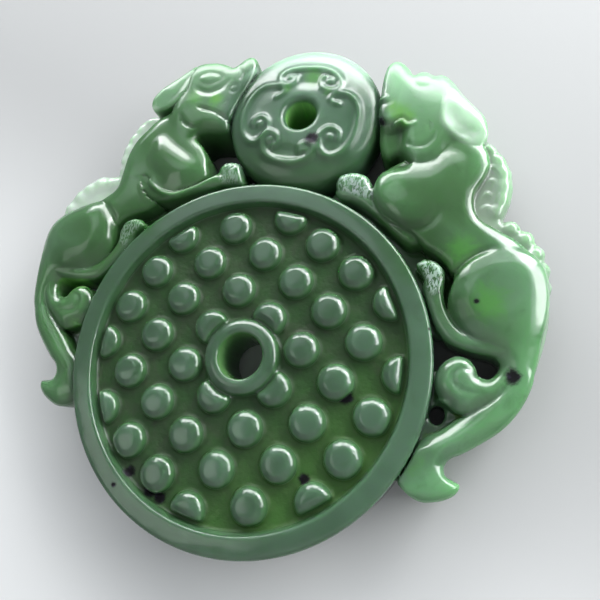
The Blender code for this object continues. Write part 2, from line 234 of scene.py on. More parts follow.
def averaged(values, half, direction, mode, number):
    """Averages values along one direction, over a run that reaches half its length to both sides."""
    run = 2 * half + 1
    size = values.shape[direction]
    pad = [(0, 0)] * values.ndim
    pad[direction] = (half + 1, half)
    total = np.cumsum(np.pad(values, pad, mode=mode), axis=direction, dtype=number)
    ahead = np.take(total, range(run, run + size), axis=direction)
    behind = np.take(total, range(size), axis=direction)
    return (ahead - behind) / run


def soften(plan, reach):
    """Averages a plan over squares, twice, so that no crease is left where two sides meet."""
    half = max(1, round(reach / VOXEL))
    for direction in (0, 1, 0, 1):
        plan = averaged(plan, half, direction, "edge", plan.dtype)
    return plan


def raise_form(stone, cut, flat, top, edge, low, dome, span, soft, mode, gap=0.0, bevel=2.0):
    """Stone from a low level up to a top, over a plan, with an eased edge and a domed or bevelled face.

    Its sides tuck in a little towards the back.
    """
    z = stone.z[cut[2]][None, None, :]
    lift = 1.0 - (1.0 - np.clip(-flat / span, 0.0, 1.0)) ** bevel
    face = (top + dome * soften(lift, 0.22 * float(np.mean(span))))[:, :, None]
    tuck = 0.02 * np.clip(-3.0 - z, 0.0, None) ** 2 if mode == "add" else 0.0
    form = eased_corner(flat[:, :, None] + tuck, np.maximum(z - face, low - z), edge)
    stone.blend(cut, form.astype(REAL), soft, mode, gap)


def pillow(stone, outline, top, edge, low=PAST_BACK, dome=0.0, span=2.0, soft=0.2, mode="add", gap=0.0,
           lean=None, bevel=2.0, widen=None, level=False):
    """A form with a smooth outline. Its face may lean, and its bevel widen, by a function of the place.

    Where the bevel widens, its edge stays at one height, or the face inside it does if it is level.
    """
    ring = spline(outline, 5, closed=True)
    cut = stone.window((*ring.min(0), low), (*ring.max(0), top + abs(dome) + 0.6))
    x, y = stone.plan(cut)
    flat = within(x, y, ring)
    face = top + (lean(x, y) if lean else 0.0)
    grow = widen(x, y) if widen else 1.0
    if level:
        face = face + dome * (1 - grow)
    raise_form(stone, cut, flat, face, edge, low, dome * grow, span * grow, soft, mode, gap, bevel)


def button(stone, x, y, long, wide, top, turn=0.0, edge=0.4, low=PAST_BACK, dome=0.2, soft=0.2, mode="add"):
    """A small elliptical form."""
    reach = max(long, wide)
    cut = stone.window((x - reach, y - reach, low), (x + reach, y + reach, top + dome))
    px, py = stone.plan(cut)
    angle = math.radians(turn)
    u = ((px - x) * math.cos(angle) + (py - y) * math.sin(angle)) / long
    v = ((py - y) * math.cos(angle) - (px - x) * math.sin(angle)) / wide
    out = np.sqrt(u * u + v * v)
    slope = np.sqrt((u / long) ** 2 + (v / wide) ** 2) + 1e-6
    flat = np.where(out < 0.3, min(long, wide) * (out - 1), out * (out - 1) / slope)
    raise_form(stone, cut, flat.astype(REAL), top, edge, low, dome, min(long, wide), soft, mode)


def groove(stone, path, width, depth, floor=-3.4):
    """A line engraved along (x, y, share of the depth, share of the width, if any).

    A negative depth leaves a raised thread.
    """
    line = spline(path)
    cut = stone.window((*line[:, :2].min(0), floor), (*line[:, :2].max(0), 3.0), width * 2.6)
    x, y = stone.plan(cut)
    distance, shares = along(x, y, line)
    wide = width * shares[1] if len(shares) > 1 else width
    bite = depth * shares[0] * np.exp(-(distance / wide) ** 2)
    stone.field[cut] += bite[:, :, None].astype(REAL)


# ---- Disc -------------------------------------------------------------------------------------

def carve_disc(stone):
    x = stone.x[:, None, None]
    y = stone.y[None, :, None]
    z = stone.z[None, None, :]
    radius = np.sqrt(x * x + y * y)

    def ring(inner, outer, low, high, easing, draft=0.0):
        """A turned band. With a draft it narrows as it goes down, or widens if the draft is negative."""
        side = np.maximum(inner - radius, radius - outer) - draft * z
        return eased_corner(side, np.maximum(low - z, z - high), easing)

    above = 4.0
    disc = ring(-1.0, DISC_RADIUS, -THICK, 0.0, easing=0.45)
    field = ring(RING_RADIUS, RIM_INSIDE, -FIELD_DEPTH, above, easing=0.45, draft=0.2)
    disc = smooth_max(disc, -field, 0.3)
    back_field = ring(RING_RADIUS, RIM_INSIDE, -THICK - above, BACK_FIELD_DEPTH - THICK, easing=0.3)
    disc = smooth_max(disc, -back_field, 0.35)
    ring_chamfer = z + 0.55 * (radius - RING_RADIUS + 0.6)
    disc = smooth_max(disc, np.where(radius < RING_RADIUS + 1, ring_chamfer, -THICK), 0.15)
    turn = math.radians(BOSS_TURN)
    for row in range(-4, 5):
        for half_pitch in range(-5, 6):
            u = half_pitch * BOSS_PITCH / 2
            v = row * BOSS_ROW
            if (half_pitch + row) % 2 or not RING_RADIUS < math.hypot(u, v) < RIM_INSIDE + BOSS_RADIUS / 2:
                continue
            centre = (u * math.cos(turn) - v * math.sin(turn), u * math.sin(turn) + v * math.cos(turn))
            add_boss(stone, disc, radius, centre)
    return smooth_max(disc, HOLE_RADIUS - radius, 0.5).astype(REAL)


def add_boss(stone, disc, radius, centre):
    """A low flat-topped boss with a broad chamfer and an eased foot, trimmed beside the rim and the ring."""
    cx, cy = centre
    reach = BOSS_RADIUS
    cut = stone.window((cx - reach, cy - reach, -FIELD_DEPTH - 0.4), (cx + reach, cy + reach, 0.0))
    x, y = stone.plan(cut)
    z = stone.z[cut[2]][None, None, :]
    out = np.hypot(x - cx, y - cy)
    away = radius[cut[:2]][:, :, 0]
    trim = smooth_max(away - (RIM_INSIDE - 0.85), RING_RADIUS + 0.55 - away, 0.1)
    flat = smooth_max(out - BOSS_RADIUS, trim, 0.4)[:, :, None]
    if flat.min() > -0.45:
        return
    chamfer = np.maximum(flat + BOSS_RADIUS - BOSS_TOP, 0)
    crown = -0.02 - 0.015 * (out * out)[:, :, None]
    face = crown - BOSS_SLOPE * (np.sqrt(chamfer ** 2 + 0.002) - 0.045) - 0.08 * chamfer ** 2
    boss = eased_corner(flat + BOSS_DRAFT * z, z - face, BOSS_EDGE)
    disc[cut] = smooth_min(disc[cut], boss, 0.45)


# ---- Ring bead --------------------------------------------------------------------------------

def carve_bead(stone):
    """A fat ring: its face falls away gently from the drilled hole, then rounds over at the rim."""
    x = stone.x[:, None, None]
    y = stone.y[None, :, None] - BEAD_RISE
    z = stone.z[None, None, :]
    half_height = (BEAD_TOP - BEAD_LOW) / 2
    out = np.maximum(np.hypot(x, y) - (BEAD_RADIUS - BEAD_SHOULDER), 0) / BEAD_SHOULDER
    up = np.abs(z - (BEAD_TOP + BEAD_LOW) / 2) / half_height
    bead = ((out ** BEAD_SQUARENESS + up ** BEAD_SQUARENESS) ** (1 / BEAD_SQUARENESS) - 1) * half_height
    hole = np.hypot(x, y + BEAD_RISE - FACE_RISE)
    fall = np.sqrt(np.maximum(hole - BEAD_CREST_RADIUS, 0) ** 2 + 0.3) - math.sqrt(0.3)
    face = BEAD_CREST - 0.17 * fall - 0.008 * fall * fall
    bead = smooth_max(bead, z - face, 0.8)
    return smooth_max(bead, BEAD_HOLE_RADIUS - hole, 0.9).astype(REAL)


def carve_scrolls(stone):
    """Four raised C-scrolls round the hole, thinner where they curl round small hearts."""
    for path in SCROLLS:
        line = []
        for index, (x, y) in enumerate(path):
            inner = float(ease(min(index, len(path) - 1 - index), 0, 6))
            line.append((x, y, 0.75 + 0.25 * inner, 0.7 + 0.3 * inner))
        groove(stone, line, SCROLL_BAND, -SCROLL_HEIGHT, floor=SCROLL_FLOOR)
    for x, y in HEARTS:
        groove(stone, [(x - 0.05, y, 1), (x + 0.05, y, 1)], 0.45, -0.9 * SCROLL_HEIGHT, floor=SCROLL_FLOOR)
    for x, y, across in ((0.3, 33.0, 0.9), (-0.4, 23.9, 0.5)):
        groove(stone, [(x - across, y, 1), (x, y, 1), (x + across, y, 1)], 0.8, 0.18, floor=SCROLL_FLOOR)


# ---- Dragon -----------------------------------------------------------------------------------

RIGHT = {
    "trunk": [
        (13.2, 30.5), (12.6, 27.0), (13.0, 25.2), (11.6, 23.9), (10.6, 22.4), (10.3, 20.8), (10.7, 19.3),
        (12.0, 17.9), (13.6, 17.0), (15.2, 16.2), (16.6, 15.1), (17.9, 14.4), (19.3, 13.4), (20.0, 12.0),
        (19.8, 10.4), (20.2, 8.8), (21.2, 7.4), (22.6, 6.3), (24.2, 5.4), (25.6, 4.6), (26.2, 3.2),
        (26.4, 1.4), (27.6, 0.9), (28.4, 1.4), (28.9, 3.8), (29.1, 6.4), (29.1, 9.0), (28.9, 11.8),
        (28.5, 13.5), (27.8, 14.9), (26.8, 16.0), (25.4, 17.0), (22.8, 18.2), (21.6, 18.9), (20.95, 20.1),
        (20.75, 21.2), (20.9, 22.2), (21.4, 23.4), (21.7, 24.6), (21.6, 26.0), (20.9, 27.2), (19.2, 28.2),
        (17.0, 31.0),
    ],
    "shoulder": [
        (10.45, 20.9), (10.9, 22.3), (11.9, 23.4), (13.2, 24.1), (14.7, 24.1), (16.2, 24.6), (17.5, 25.6),
        (18.9, 25.0), (19.4, 23.2), (19.0, 20.9), (17.6, 19.0), (16.0, 17.5), (14.0, 17.0), (12.0, 17.8),
        (10.8, 19.3),
    ],
    "haunch": [
        (20.1, 10.2), (20.1, 11.5), (20.45, 12.6), (21.3, 13.8), (22.6, 14.8), (24.2, 15.5), (26.2, 15.7),
        (27.9, 15.0), (28.9, 13.4), (29.35, 10.8), (29.15, 8.4), (28.0, 6.4), (25.6, 5.8), (23.6, 6.3),
        (21.9, 7.2), (20.7, 8.6),
    ],
    "forearm": [
        (5.9, 20.4), (6.6, 19.4), (8.2, 19.2), (10.0, 18.4), (11.9, 17.1), (13.6, 15.9), (15.2, 15.0),
        (16.6, 15.6), (15.8, 16.7), (13.9, 17.2), (12.1, 18.1), (10.8, 19.3), (10.1, 20.4), (8.0, 21.0),
    ],
    "elbow": [
        (17.3, 19.9, 0), (17.4, 18.9, 0.4), (16.9, 17.7, 0.6), (15.9, 17.0, 0.6), (14.4, 16.9, 0.6),
        (12.6, 17.5, 0.6), (11.2, 18.7, 0.5), (10.4, 20.2, 0.4), (10.3, 21.2, 0.1),
    ],
    "front_paw": [
        (5.8, 21.1), (6.1, 22.1), (7.1, 22.6), (8.4, 22.6), (9.4, 22.2), (10.0, 21.2), (10.5, 20.1),
        (9.8, 19.5), (8.6, 19.7), (7.4, 19.9), (6.3, 20.2),
    ],
    "hind_paw": [
        (16.25, 12.9), (16.6, 13.5), (17.3, 13.75), (18.2, 13.6), (19.0, 13.0), (19.35, 12.1), (19.3, 11.0),
        (19.0, 10.2), (18.2, 9.9), (17.6, 10.6), (17.2, 11.7),
    ],
    "skull": [
        (9.3, 28.4), (8.9, 30.2), (8.75, 32.4), (8.62, 34.5), (8.75, 36.0), (9.2, 36.75), (9.8, 37.05),
        (10.5, 36.85), (11.3, 36.2), (11.95, 35.35), (12.3, 35.7), (12.8, 36.05), (13.4, 36.05),
        (14.2, 35.6), (15.0, 35.75), (15.7, 35.5), (16.5, 34.8), (17.3, 33.8), (18.2, 32.65), (19.3, 31.6),
        (20.2, 30.7), (20.7, 29.6), (20.3, 28.6), (19.2, 28.3), (18.4, 27.9), (17.9, 27.2), (17.4, 26.2),
        (16.8, 25.2), (15.9, 24.3), (14.8, 23.85), (13.8, 24.0), (13.0, 24.7), (12.0, 25.2), (11.0, 24.7),
        (10.2, 25.2), (9.6, 26.7),
    ],
    "mouth": [
        (7.6, 28.5), (9.6, 28.6), (10.3, 28.5), (11.0, 28.6), (11.6, 28.8), (12.2, 28.5), (12.5, 28.0),
        (12.55, 27.0), (12.7, 25.9), (13.0, 24.9), (13.0, 23.4), (7.6, 23.4),
    ],
    "ear": [
        (15.95, 32.2), (15.75, 30.9), (15.95, 29.4), (16.7, 28.2), (17.9, 27.4), (19.3, 26.9),
        (20.5, 27.05), (21.05, 27.9), (21.0, 28.9), (20.5, 30.1), (19.5, 31.3), (18.4, 32.3), (17.3, 33.3),
        (16.5, 33.4),
    ],
    "brow": ((9.0, 9.9, 10.8, 11.6, 12.4, 13.6, 15.3, 16.1, 19.0),
             (35.0, 34.7, 33.9, 33.0, 32.0, 31.1, 31.3, 31.1, 30.6)),
    # Lines of the face: a path, its width and its depth, or height where it is negative.
    "lines": (
        ([(12.7, 26.7, 0.3), (13.1, 26.3, 0.9), (13.9, 26.0, 1), (14.9, 26.3, 1), (15.5, 27.2, 0.9),
          (15.65, 28.2, 0.2)], 0.28, 0.13),
        ([(14.7, 28.9, 0.4), (15.0, 28.35, 0.9), (14.95, 27.8, 0.3)], 0.22, 0.12),
        ([(9.9, 28.0, 0.2), (10.8, 27.9, 0.8), (11.1, 28.55, 1), (11.8, 28.95, 1), (12.5, 28.5, 1),
          (13.2, 28.65, 0.9), (13.35, 29.1, 0.2)], 0.22, -0.16),
        ([(9.5, 28.9, 0.6), (10.4, 28.6, 0.9), (11.2, 29.1, 1), (11.8, 29.4, 1), (12.5, 28.95, 1),
          (13.1, 29.1, 0.4)], 0.24, 0.16),
        ([(12.2, 34.3, 0.3), (12.5, 33.7, 0.9), (13.1, 33.45, 1), (13.8, 33.6, 0.9),
          (14.1, 34.1, 0.3)], 0.3, 0.06),
        ([(12.8, 34.7, 0.6), (13.3, 34.5, 1), (13.6, 34.75, 0.5)], 0.24, 0.06),
        ([(8.9, 30.9, 0.5), (9.5, 31.0, 0.9), (10.1, 31.2, 0.7), (10.3, 31.6, 0.2)], 0.26, 0.1),
        ([(16.15, 32.2, 0.2), (16.05, 30.8, 0.9), (16.3, 29.4, 1), (17.1, 28.3, 1), (18.3, 27.65, 1),
          (19.4, 27.4, 0.4), (20.2, 27.5, 0)], 0.24, -0.13),
        ([(17.3, 31.6, 0.2), (17.2, 30.4, 1), (17.8, 29.2, 1), (18.9, 28.6, 1),
          (19.8, 28.5, 0.3)], 0.5, 0.12)),
    "beads": [
        (24.9, 18.6, 0.95), (26.4, 17.6, 1.0), (27.6, 16.2, 0.95), (28.4, 14.6, 0.85), (28.85, 12.9, 0.7),
    ],
    # Places of painted shade on the haunch: the middle and the reach.
    "shades": [(21.3, 8.8, 2.6)],
}
LEFT = dict(
    RIGHT,
    trunk=RIGHT["trunk"][:27] + [
        (28.7, 11.3), (27.4, 12.9), (25.9, 13.9), (24.1, 14.9), (22.5, 16.0), (21.5, 17.3), (21.4, 19.5),
        (21.4, 21.7), (20.9, 23.8), (19.9, 25.5), (18.9, 27.1), (17.1, 28.6), (15.9, 30.4),
    ],
    shoulder=[
        (9.9, 20.3), (10.4, 21.7), (11.4, 22.8), (12.8, 23.6), (14.4, 24.4), (16.0, 25.3), (17.6, 25.6),
        (18.9, 24.2), (19.0, 21.2), (17.9, 19.5), (16.5, 18.6), (15.0, 17.85), (13.5, 17.6), (12.1, 18.1),
        (10.8, 19.0),
    ],
    haunch=[
        (20.1, 10.2), (20.0, 11.5), (20.3, 12.6), (20.9, 13.5), (21.8, 14.4), (23.0, 14.9), (24.3, 14.7),
        (25.9, 13.9), (27.5, 12.9), (28.7, 11.6), (29.2, 10.2), (29.0, 8.2), (27.8, 6.4), (25.6, 5.8),
        (23.6, 6.3), (21.9, 7.2), (20.7, 8.6),
    ],
    forearm=[
        (8.2, 19.2), (10.0, 18.3), (11.8, 17.4), (13.4, 16.6), (15.3, 16.2), (17.1, 16.7), (18.4, 17.9),
        (18.7, 19.1), (17.9, 19.6), (16.6, 18.9), (15.0, 18.0), (13.5, 17.75), (12.1, 18.3), (10.8, 19.1),
        (9.7, 20.0), (8.7, 20.8), (7.4, 20.6), (7.2, 19.6),
    ],
    elbow=[(19.6, 18.5, 0), (18.7, 18.4, 0.4), (18.5, 17.4, 0.5), (17.6, 16.2, 0.3), (16.4, 15.6, 0)],
    front_paw=[
        (8.0, 19.5), (8.7, 20.6), (8.7, 21.6), (8.2, 22.2), (7.3, 22.45), (6.3, 22.3), (5.7, 21.3),
        (5.3, 20.1), (5.6, 19.7), (6.8, 19.5),
    ],
    skull=[
        (9.0, 27.6), (8.3, 30.2), (7.6, 32.4), (7.3, 34.4), (7.5, 36.0), (8.1, 36.6), (8.75, 36.6),
        (9.4, 36.1), (10.0, 35.3), (10.5, 35.0), (11.2, 35.3), (12.7, 35.6), (14.4, 35.4), (15.6, 34.9),
        (16.5, 34.0), (17.5, 32.7), (17.8, 31.2), (17.3, 29.8), (16.9, 28.4), (16.6, 27.0), (15.8, 25.8),
        (14.4, 25.2), (12.7, 25.6), (11.3, 25.9), (9.8, 26.0), (8.9, 26.4),
    ],
    mouth=[
        (7.6, 26.6), (9.0, 26.8), (10.5, 27.2), (12.0, 27.4), (13.4, 26.6), (14.0, 25.4), (13.4, 24.4),
        (7.6, 23.6),
    ],
    ear=[
        (18.95, 27.9), (17.2, 28.8), (15.9, 30.25), (15.35, 32.2), (15.2, 34.2), (15.6, 34.95),
        (16.2, 34.5), (17.2, 33.3), (19.1, 31.35), (19.8, 30.3), (20.1, 29.4), (19.8, 28.3),
    ],
    brow=((8.0, 10.0, 12.0, 14.0, 15.5, 19.0), (33.8, 33.4, 33.2, 33.2, 33.0, 31.5)),
    lines=(
        ([(15.4, 27.7, 0.2), (15.1, 27.0, 1), (14.5, 26.5, 1), (13.6, 26.2, 0.9),
          (12.7, 26.3, 0.2)], 0.28, 0.22),
        ([(13.5, 29.0, 0.3), (12.8, 28.75, 1), (12.0, 28.6, 0.9), (11.0, 28.4, 0.8), (9.8, 27.9, 1),
          (9.0, 27.5, 0.6)], 0.28, 0.26),
        ([(10.5, 28.9, 0.3), (9.9, 29.8, 0.9), (9.7, 30.5, 0.4)], 0.24, 0.1),
        ([(14.7, 31.95, 0.3), (14.0, 31.3, 1), (12.6, 30.95, 1), (11.2, 31.6, 1),
          (10.4, 32.7, 0.4)], 0.4, 0.16),
        ([(14.5, 32.7, 0.4), (13.8, 32.25, 1), (12.7, 32.1, 1), (11.6, 32.7, 0.9),
          (11.3, 33.3, 0.4)], 0.28, 0.11),
        ([(14.5, 32.8, 0.4), (13.9, 33.4, 1), (13.0, 33.7, 1), (12.0, 33.6, 1),
          (11.3, 33.2, 0.4)], 0.28, 0.1),
        ([(9.2, 32.3, 0.7), (9.7, 32.1, 1), (9.75, 31.5, 1), (9.3, 31.25, 1), (8.9, 31.6, 0.7)], 0.22, 0.1),
        ([(9.3, 34.7, 0.5), (8.9, 34.0, 1), (8.85, 33.2, 0.6)], 0.24, 0.16),
        ([(18.7, 28.9, 0.3), (17.5, 29.8, 1), (16.7, 31.0, 1), (16.3, 32.4, 0.8),
          (16.1, 33.6, 0.2)], 0.45, 0.1)),
    beads=[(23.6, 18.4, 0.8), (25.0, 18.0, 0.9), (26.3, 17.1, 0.85), (27.3, 15.8, 0.8), (28.2, 14.2, 0.7)],
    shades=[(24.5, 7.2, 2.8), (21.4, 8.4, 2.4)],
)
# Locks of the mane: place, half-length, half-width and turn.
LOCKS = (
    (21.6, 27.4, 0.9, 0.7, -45), (22.6, 26.2, 1.1, 0.85, -50), (23.3, 24.8, 1.15, 0.9, -62),
    (23.6, 23.2, 1.15, 0.9, -82), (23.6, 21.7, 1.1, 0.85, -95), (23.3, 20.3, 1.0, 0.8, -100),
)


def carve_floor(stone):
    """Lower stone that ties the dragon to the disc and its limbs to each other."""
    front = [
        (4.6, 19.2), (6.0, 21.6), (9.6, 22.0), (11.2, 20.5), (14.5, 17.6), (16.5, 15.2), (18.5, 14.0),
        (20.8, 12.0), (20.9, 7.6), (20.8, 6.6), (19.4, 6.2), (17.0, 8.0), (12.0, 14.5), (6.0, 18.2),
    ]
    pillow(stone, front, -3.0, 0.5, low=-6.8)
    rear = [
        (19.0, 2.6), (20.6, 2.9), (24.5, 2.4), (27.0, 2.9), (27.0, 0.6), (23.5, -2.9), (20.5, -5.4),
        (18.0, -7.4), (18.0, -1.0),
    ]
    pillow(stone, rear, -2.7, 0.5, low=-6.9)


def carve_mane(stone, left):
    """The thin flange outside the back."""
    flange = [
        (20.2, 29.2), (21.3, 28.1), (21.9, 27.4), (22.6, 26.4), (23.3, 25.7), (23.9, 24.5), (24.25, 23.0),
        (24.2, 21.5), (23.9, 20.3), (24.1, 19.4), (25.2, 19.1), (26.4, 18.2), (27.8, 17.0), (28.6, 15.5),
        (29.2, 13.6), (29.5, 11.8), (29.75, 9.8), (29.7, 7.8), (29.4, 5.6), (28.9, 3.4), (27.5, 3.4),
        (26.0, 8.0), (22.0, 14.0), (18.0, 18.0), (17.5, 26.0),
    ]
    if left:
        flange[:10] = [
            (19.2, 28.6), (20.4, 28.5), (21.6, 28.0), (22.4, 26.9), (22.9, 25.3), (23.3, 23.4),
            (23.4, 21.7), (23.0, 20.1), (23.2, 19.2), (24.1, 18.9),
        ]
    pillow(stone, flange, -1.8, 0.8, low=-5.6 if left else -6.3, dome=0.2, span=1.5)


def carve_locks(stone, shape, left):
    """Low overlapping locks behind the neck, and beads along the spine."""
    inward = 0.85 if left else 0.0
    size = 0.85 if left else 1.0
    rise = -0.25 if left else 0.0
    low = -5.2 if left else -5.9
    for x, y, long, wide, turn in LOCKS:
        button(stone, x - inward, y, long * size, wide * size, -1.65 + rise, turn=turn, edge=0.7, low=low,
               dome=0.35, soft=0.6)
    if not left:
        for x, y in ((22.05, 25.0), (22.15, 23.4), (21.85, 21.8), (22.1, 20.3)):
            comma = [(x - 0.4, y - 0.5, 0.1), (x - 0.25, y + 0.15, 0.9), (x + 0.2, y + 0.4, 1),
                     (x + 0.5, y + 0.1, 0.7), (x + 0.35, y - 0.3, 0.1)]
            groove(stone, comma, 0.22, -0.14)
    for x, y, radius in shape["beads"]:
        button(stone, x, y, radius, radius, -1.45 + rise, edge=0.7, low=low, dome=0.3, soft=0.5 - 2 * rise)


def carve_trunk(stone, shape, left):
    """Neck, breast, back and loins as one broad form, with the back as its crisp outer edge."""
    def lean(x, y):
        belly = 0.019 * np.clip(27.0 - np.hypot(x, y), 0, None) ** 2
        return -0.85 * ease(-y, -10, 1) - belly * ease(-y, -19.5, -14.5) - 0.15 * ease(y, 24, 28.5)

    def widen(x, y):
        breast = 0.65 * ease(26.3 - np.hypot(x, y), 0, 3.5) * ease(-y, -19.5, -16)
        return 1 + 0.5 * ease(x, 20.5, 25) - breast

    pillow(stone, shape["trunk"], -0.35, 0.35, dome=0.42, span=1.15, soft=0.15, lean=lean, bevel=1.3,
           widen=widen)
    if left:
        pillow(stone, shape["shoulder"], -0.35, 0.6, dome=0.95, span=2.5, soft=0.22, bevel=1.3)
    else:
        pillow(stone, shape["shoulder"], -0.5, 0.7, dome=1.05, span=3.0, soft=1.3)
    pillow(stone, shape["haunch"], -0.2, 0.9 if left else 0.4, dome=0.9, span=2.0, soft=0.6, bevel=1.35,
           lean=lambda x, y: 0.05 * (y - 11) - 0.03 * (x - 24))


def carve_body_lines(stone, shape, left):
    """The creases that set the haunch and the shoulder off from the trunk."""
    haunch = [
        (20.7, 7.9, 0), (19.95, 9.4, 0.4), (19.85, 11.3, 0.9), (20.4, 13.1, 1), (21.7, 14.6, 0.9),
        (23.0, 15.4, 0.4), (24.0, 15.8, 0),
    ]
    groove(stone, haunch, 0.36, 0.2 if left else 0.36)
    fold = [(26.9, 8.4, 0), (26.8, 10.4, 0.7), (26.2, 9.6, 1), (25.0, 9.0, 0.6), (24.0, 8.9, 0)]
    groove(stone, fold, 0.6, -0.08)
    groove(stone, shape["elbow"], 0.45, 0.26)


def carve_legs(stone, shape, left):
    """A shin and a forearm along the rim, each with its paw."""
    shin = [
        (17.3, 11.2), (17.7, 9.6), (18.6, 7.9), (19.6, 6.5), (20.6, 5.6), (22.2, 5.15), (24.3, 4.95),
        (26.0, 5.1), (26.6, 6.2), (25.6, 7.0), (24.0, 6.7), (22.7, 6.7), (21.5, 7.2), (20.6, 8.1),
        (19.9, 9.2), (19.5, 10.3), (19.2, 11.3),
    ]
    pillow(stone, shin, -0.7, 0.5, dome=0.25, span=0.9, soft=0.25, gap=0.05,
           lean=lambda x, y: 0.06 * (x - 22))
    if left:
        pillow(stone, shape["forearm"], -0.3, 0.45, dome=0.2, span=0.9, soft=0.12, gap=0.1,
               lean=lambda x, y: -0.1 * np.clip(11 - x, 0, 4))
        lip = [
            (17.2, 18.7, 0), (16.3, 17.9, 0.8), (15.0, 17.3, 1), (13.5, 17.15, 1), (12.1, 17.65, 1),
            (10.7, 18.45, 1), (9.6, 19.4, 0.8), (8.8, 20.3, 0.3),
        ]
        groove(stone, lip, 0.32, -0.34)
    else:
        pillow(stone, shape["forearm"], -0.8, 0.65, dome=0.25, span=0.9, soft=0.25, gap=0.08,
               lean=lambda x, y: -0.08 * np.clip(x - 12, 0, 5))
    pillow(stone, shape["front_paw"], -0.55, 0.7, dome=0.35, span=1.2, soft=0.25,
           lean=lambda x, y: 0.12 * (y - 21))
    pillow(stone, shape["hind_paw"], -0.55, 0.6, dome=0.3, span=1.1, soft=0.25,
           lean=lambda x, y: 0.08 * (y - 12))


def carve_toes(stone):
    """Fine lines that fan over both paws."""
    lines = 6
    for number in range(lines):
        f = number / (lines - 1)
        front = [(6.3 + 3.2 * f, 22.5 - 0.4 * f, 0.6), (6.9 + 2.5 * f, 21.6 - 0.5 * f, 1),
                 (7.6 + 1.8 * f, 20.8 - 0.6 * f, 0.8), (8.6 + 1.0 * f, 20.2 - 0.5 * f, 0)]
        groove(stone, front, 0.12, 0.12)
        hind = [(16.5 + 2.7 * f, 13.5 - 0.9 * f, 0.6), (17.2 + 1.7 * f, 12.7 - 0.7 * f, 1),
                (17.7 + 1.1 * f, 11.7 - 0.5 * f, 0.8), (18.1 + 0.6 * f, 10.7, 0)]
        groove(stone, hind, 0.12, 0.12)


def carve_tail(stone, left):
    """The tail sweeps out and down to a hook, and its side branch curls over beside the disc."""
    tail = [
        (27.4, 5.4), (28.9, 3.8), (28.5, 1.4), (27.8, -0.3), (26.8, -1.8), (25.3, -3.3), (23.8, -4.6),
        (22.8, -5.3), (22.35, -6.1), (22.55, -6.9), (23.3, -7.25), (23.95, -7.5), (23.75, -8.3),
        (23.0, -9.0), (22.0, -9.5), (20.8, -9.8), (19.6, -9.5), (18.3, -8.6), (17.6, -7.8), (18.9, -5.6),
        (19.8, -4.2), (20.6, -3.5), (21.4, -2.9), (22.8, -1.55), (24.0, -0.5), (25.0, 0.35), (26.0, 1.5),
        (26.7, 3.4),
    ]
    if left:
        pillow(stone, tail, -1.2, 0.6, low=LIMB_LOW, dome=0.6, span=1.5, soft=0.35, bevel=1.7)
    else:
        pillow(stone, tail, -1.3, 0.45, low=LIMB_LOW, dome=0.8, span=1.25, soft=0.35, bevel=1.06, level=True,
               widen=lambda x, y: (1 - 0.6 * ease(y, -2.4, 1.0) - 0.45 * ease(-y, 5.6, 7.4))
               * (1 - 0.8 * ease(-y, 4.4, 5.6) * ease(22.6 - np.hypot(x, y), 0, 1.5)))
    hollow = [
        (20.4, -4.4, 0), (21.0, -5.4, 0.5), (21.5, -6.5, 0.9), (22.0, -7.3, 1), (22.7, -7.7, 0.6),
        (23.2, -7.8, 0),
    ]
    groove(stone, hollow, 0.6, 0.12)
    branch = [
        (20.0, 1.4), (20.2, 2.8), (20.8, 3.8), (21.8, 4.45), (22.9, 4.35), (23.7, 3.6), (24.0, 2.95),
        (24.6, 2.75), (25.2, 2.9), (25.7, 3.6), (26.1, 4.7), (27.4, 4.4), (27.3, 2.8), (26.3, 1.2),
        (25.0, 0.1), (23.6, -0.9), (22.5, -1.0), (21.7, -0.3), (20.6, 0.3),
    ]
    pillow(stone, branch, -1.0, 0.45, low=-7.3, dome=0.62, span=1.1, soft=0.3, gap=0.1, bevel=1.15)
    curl = [
        (23.5, 3.6, 0), (23.0, 3.3, 0.8), (22.2, 3.2, 1), (21.75, 2.5, 1), (22.0, 1.7, 1), (22.9, 1.2, 0.8),
        (24.2, 1.2, 0.5), (25.2, 1.6, 0),
    ]
    groove(stone, curl, 0.26, 0.18)
    lip = [(20.2, 0.1, 0.3), (20.8, -0.2, 1), (21.5, -0.35, 1), (22.0, -0.9, 0.3)]
    groove(stone, lip, 0.25, -0.3)


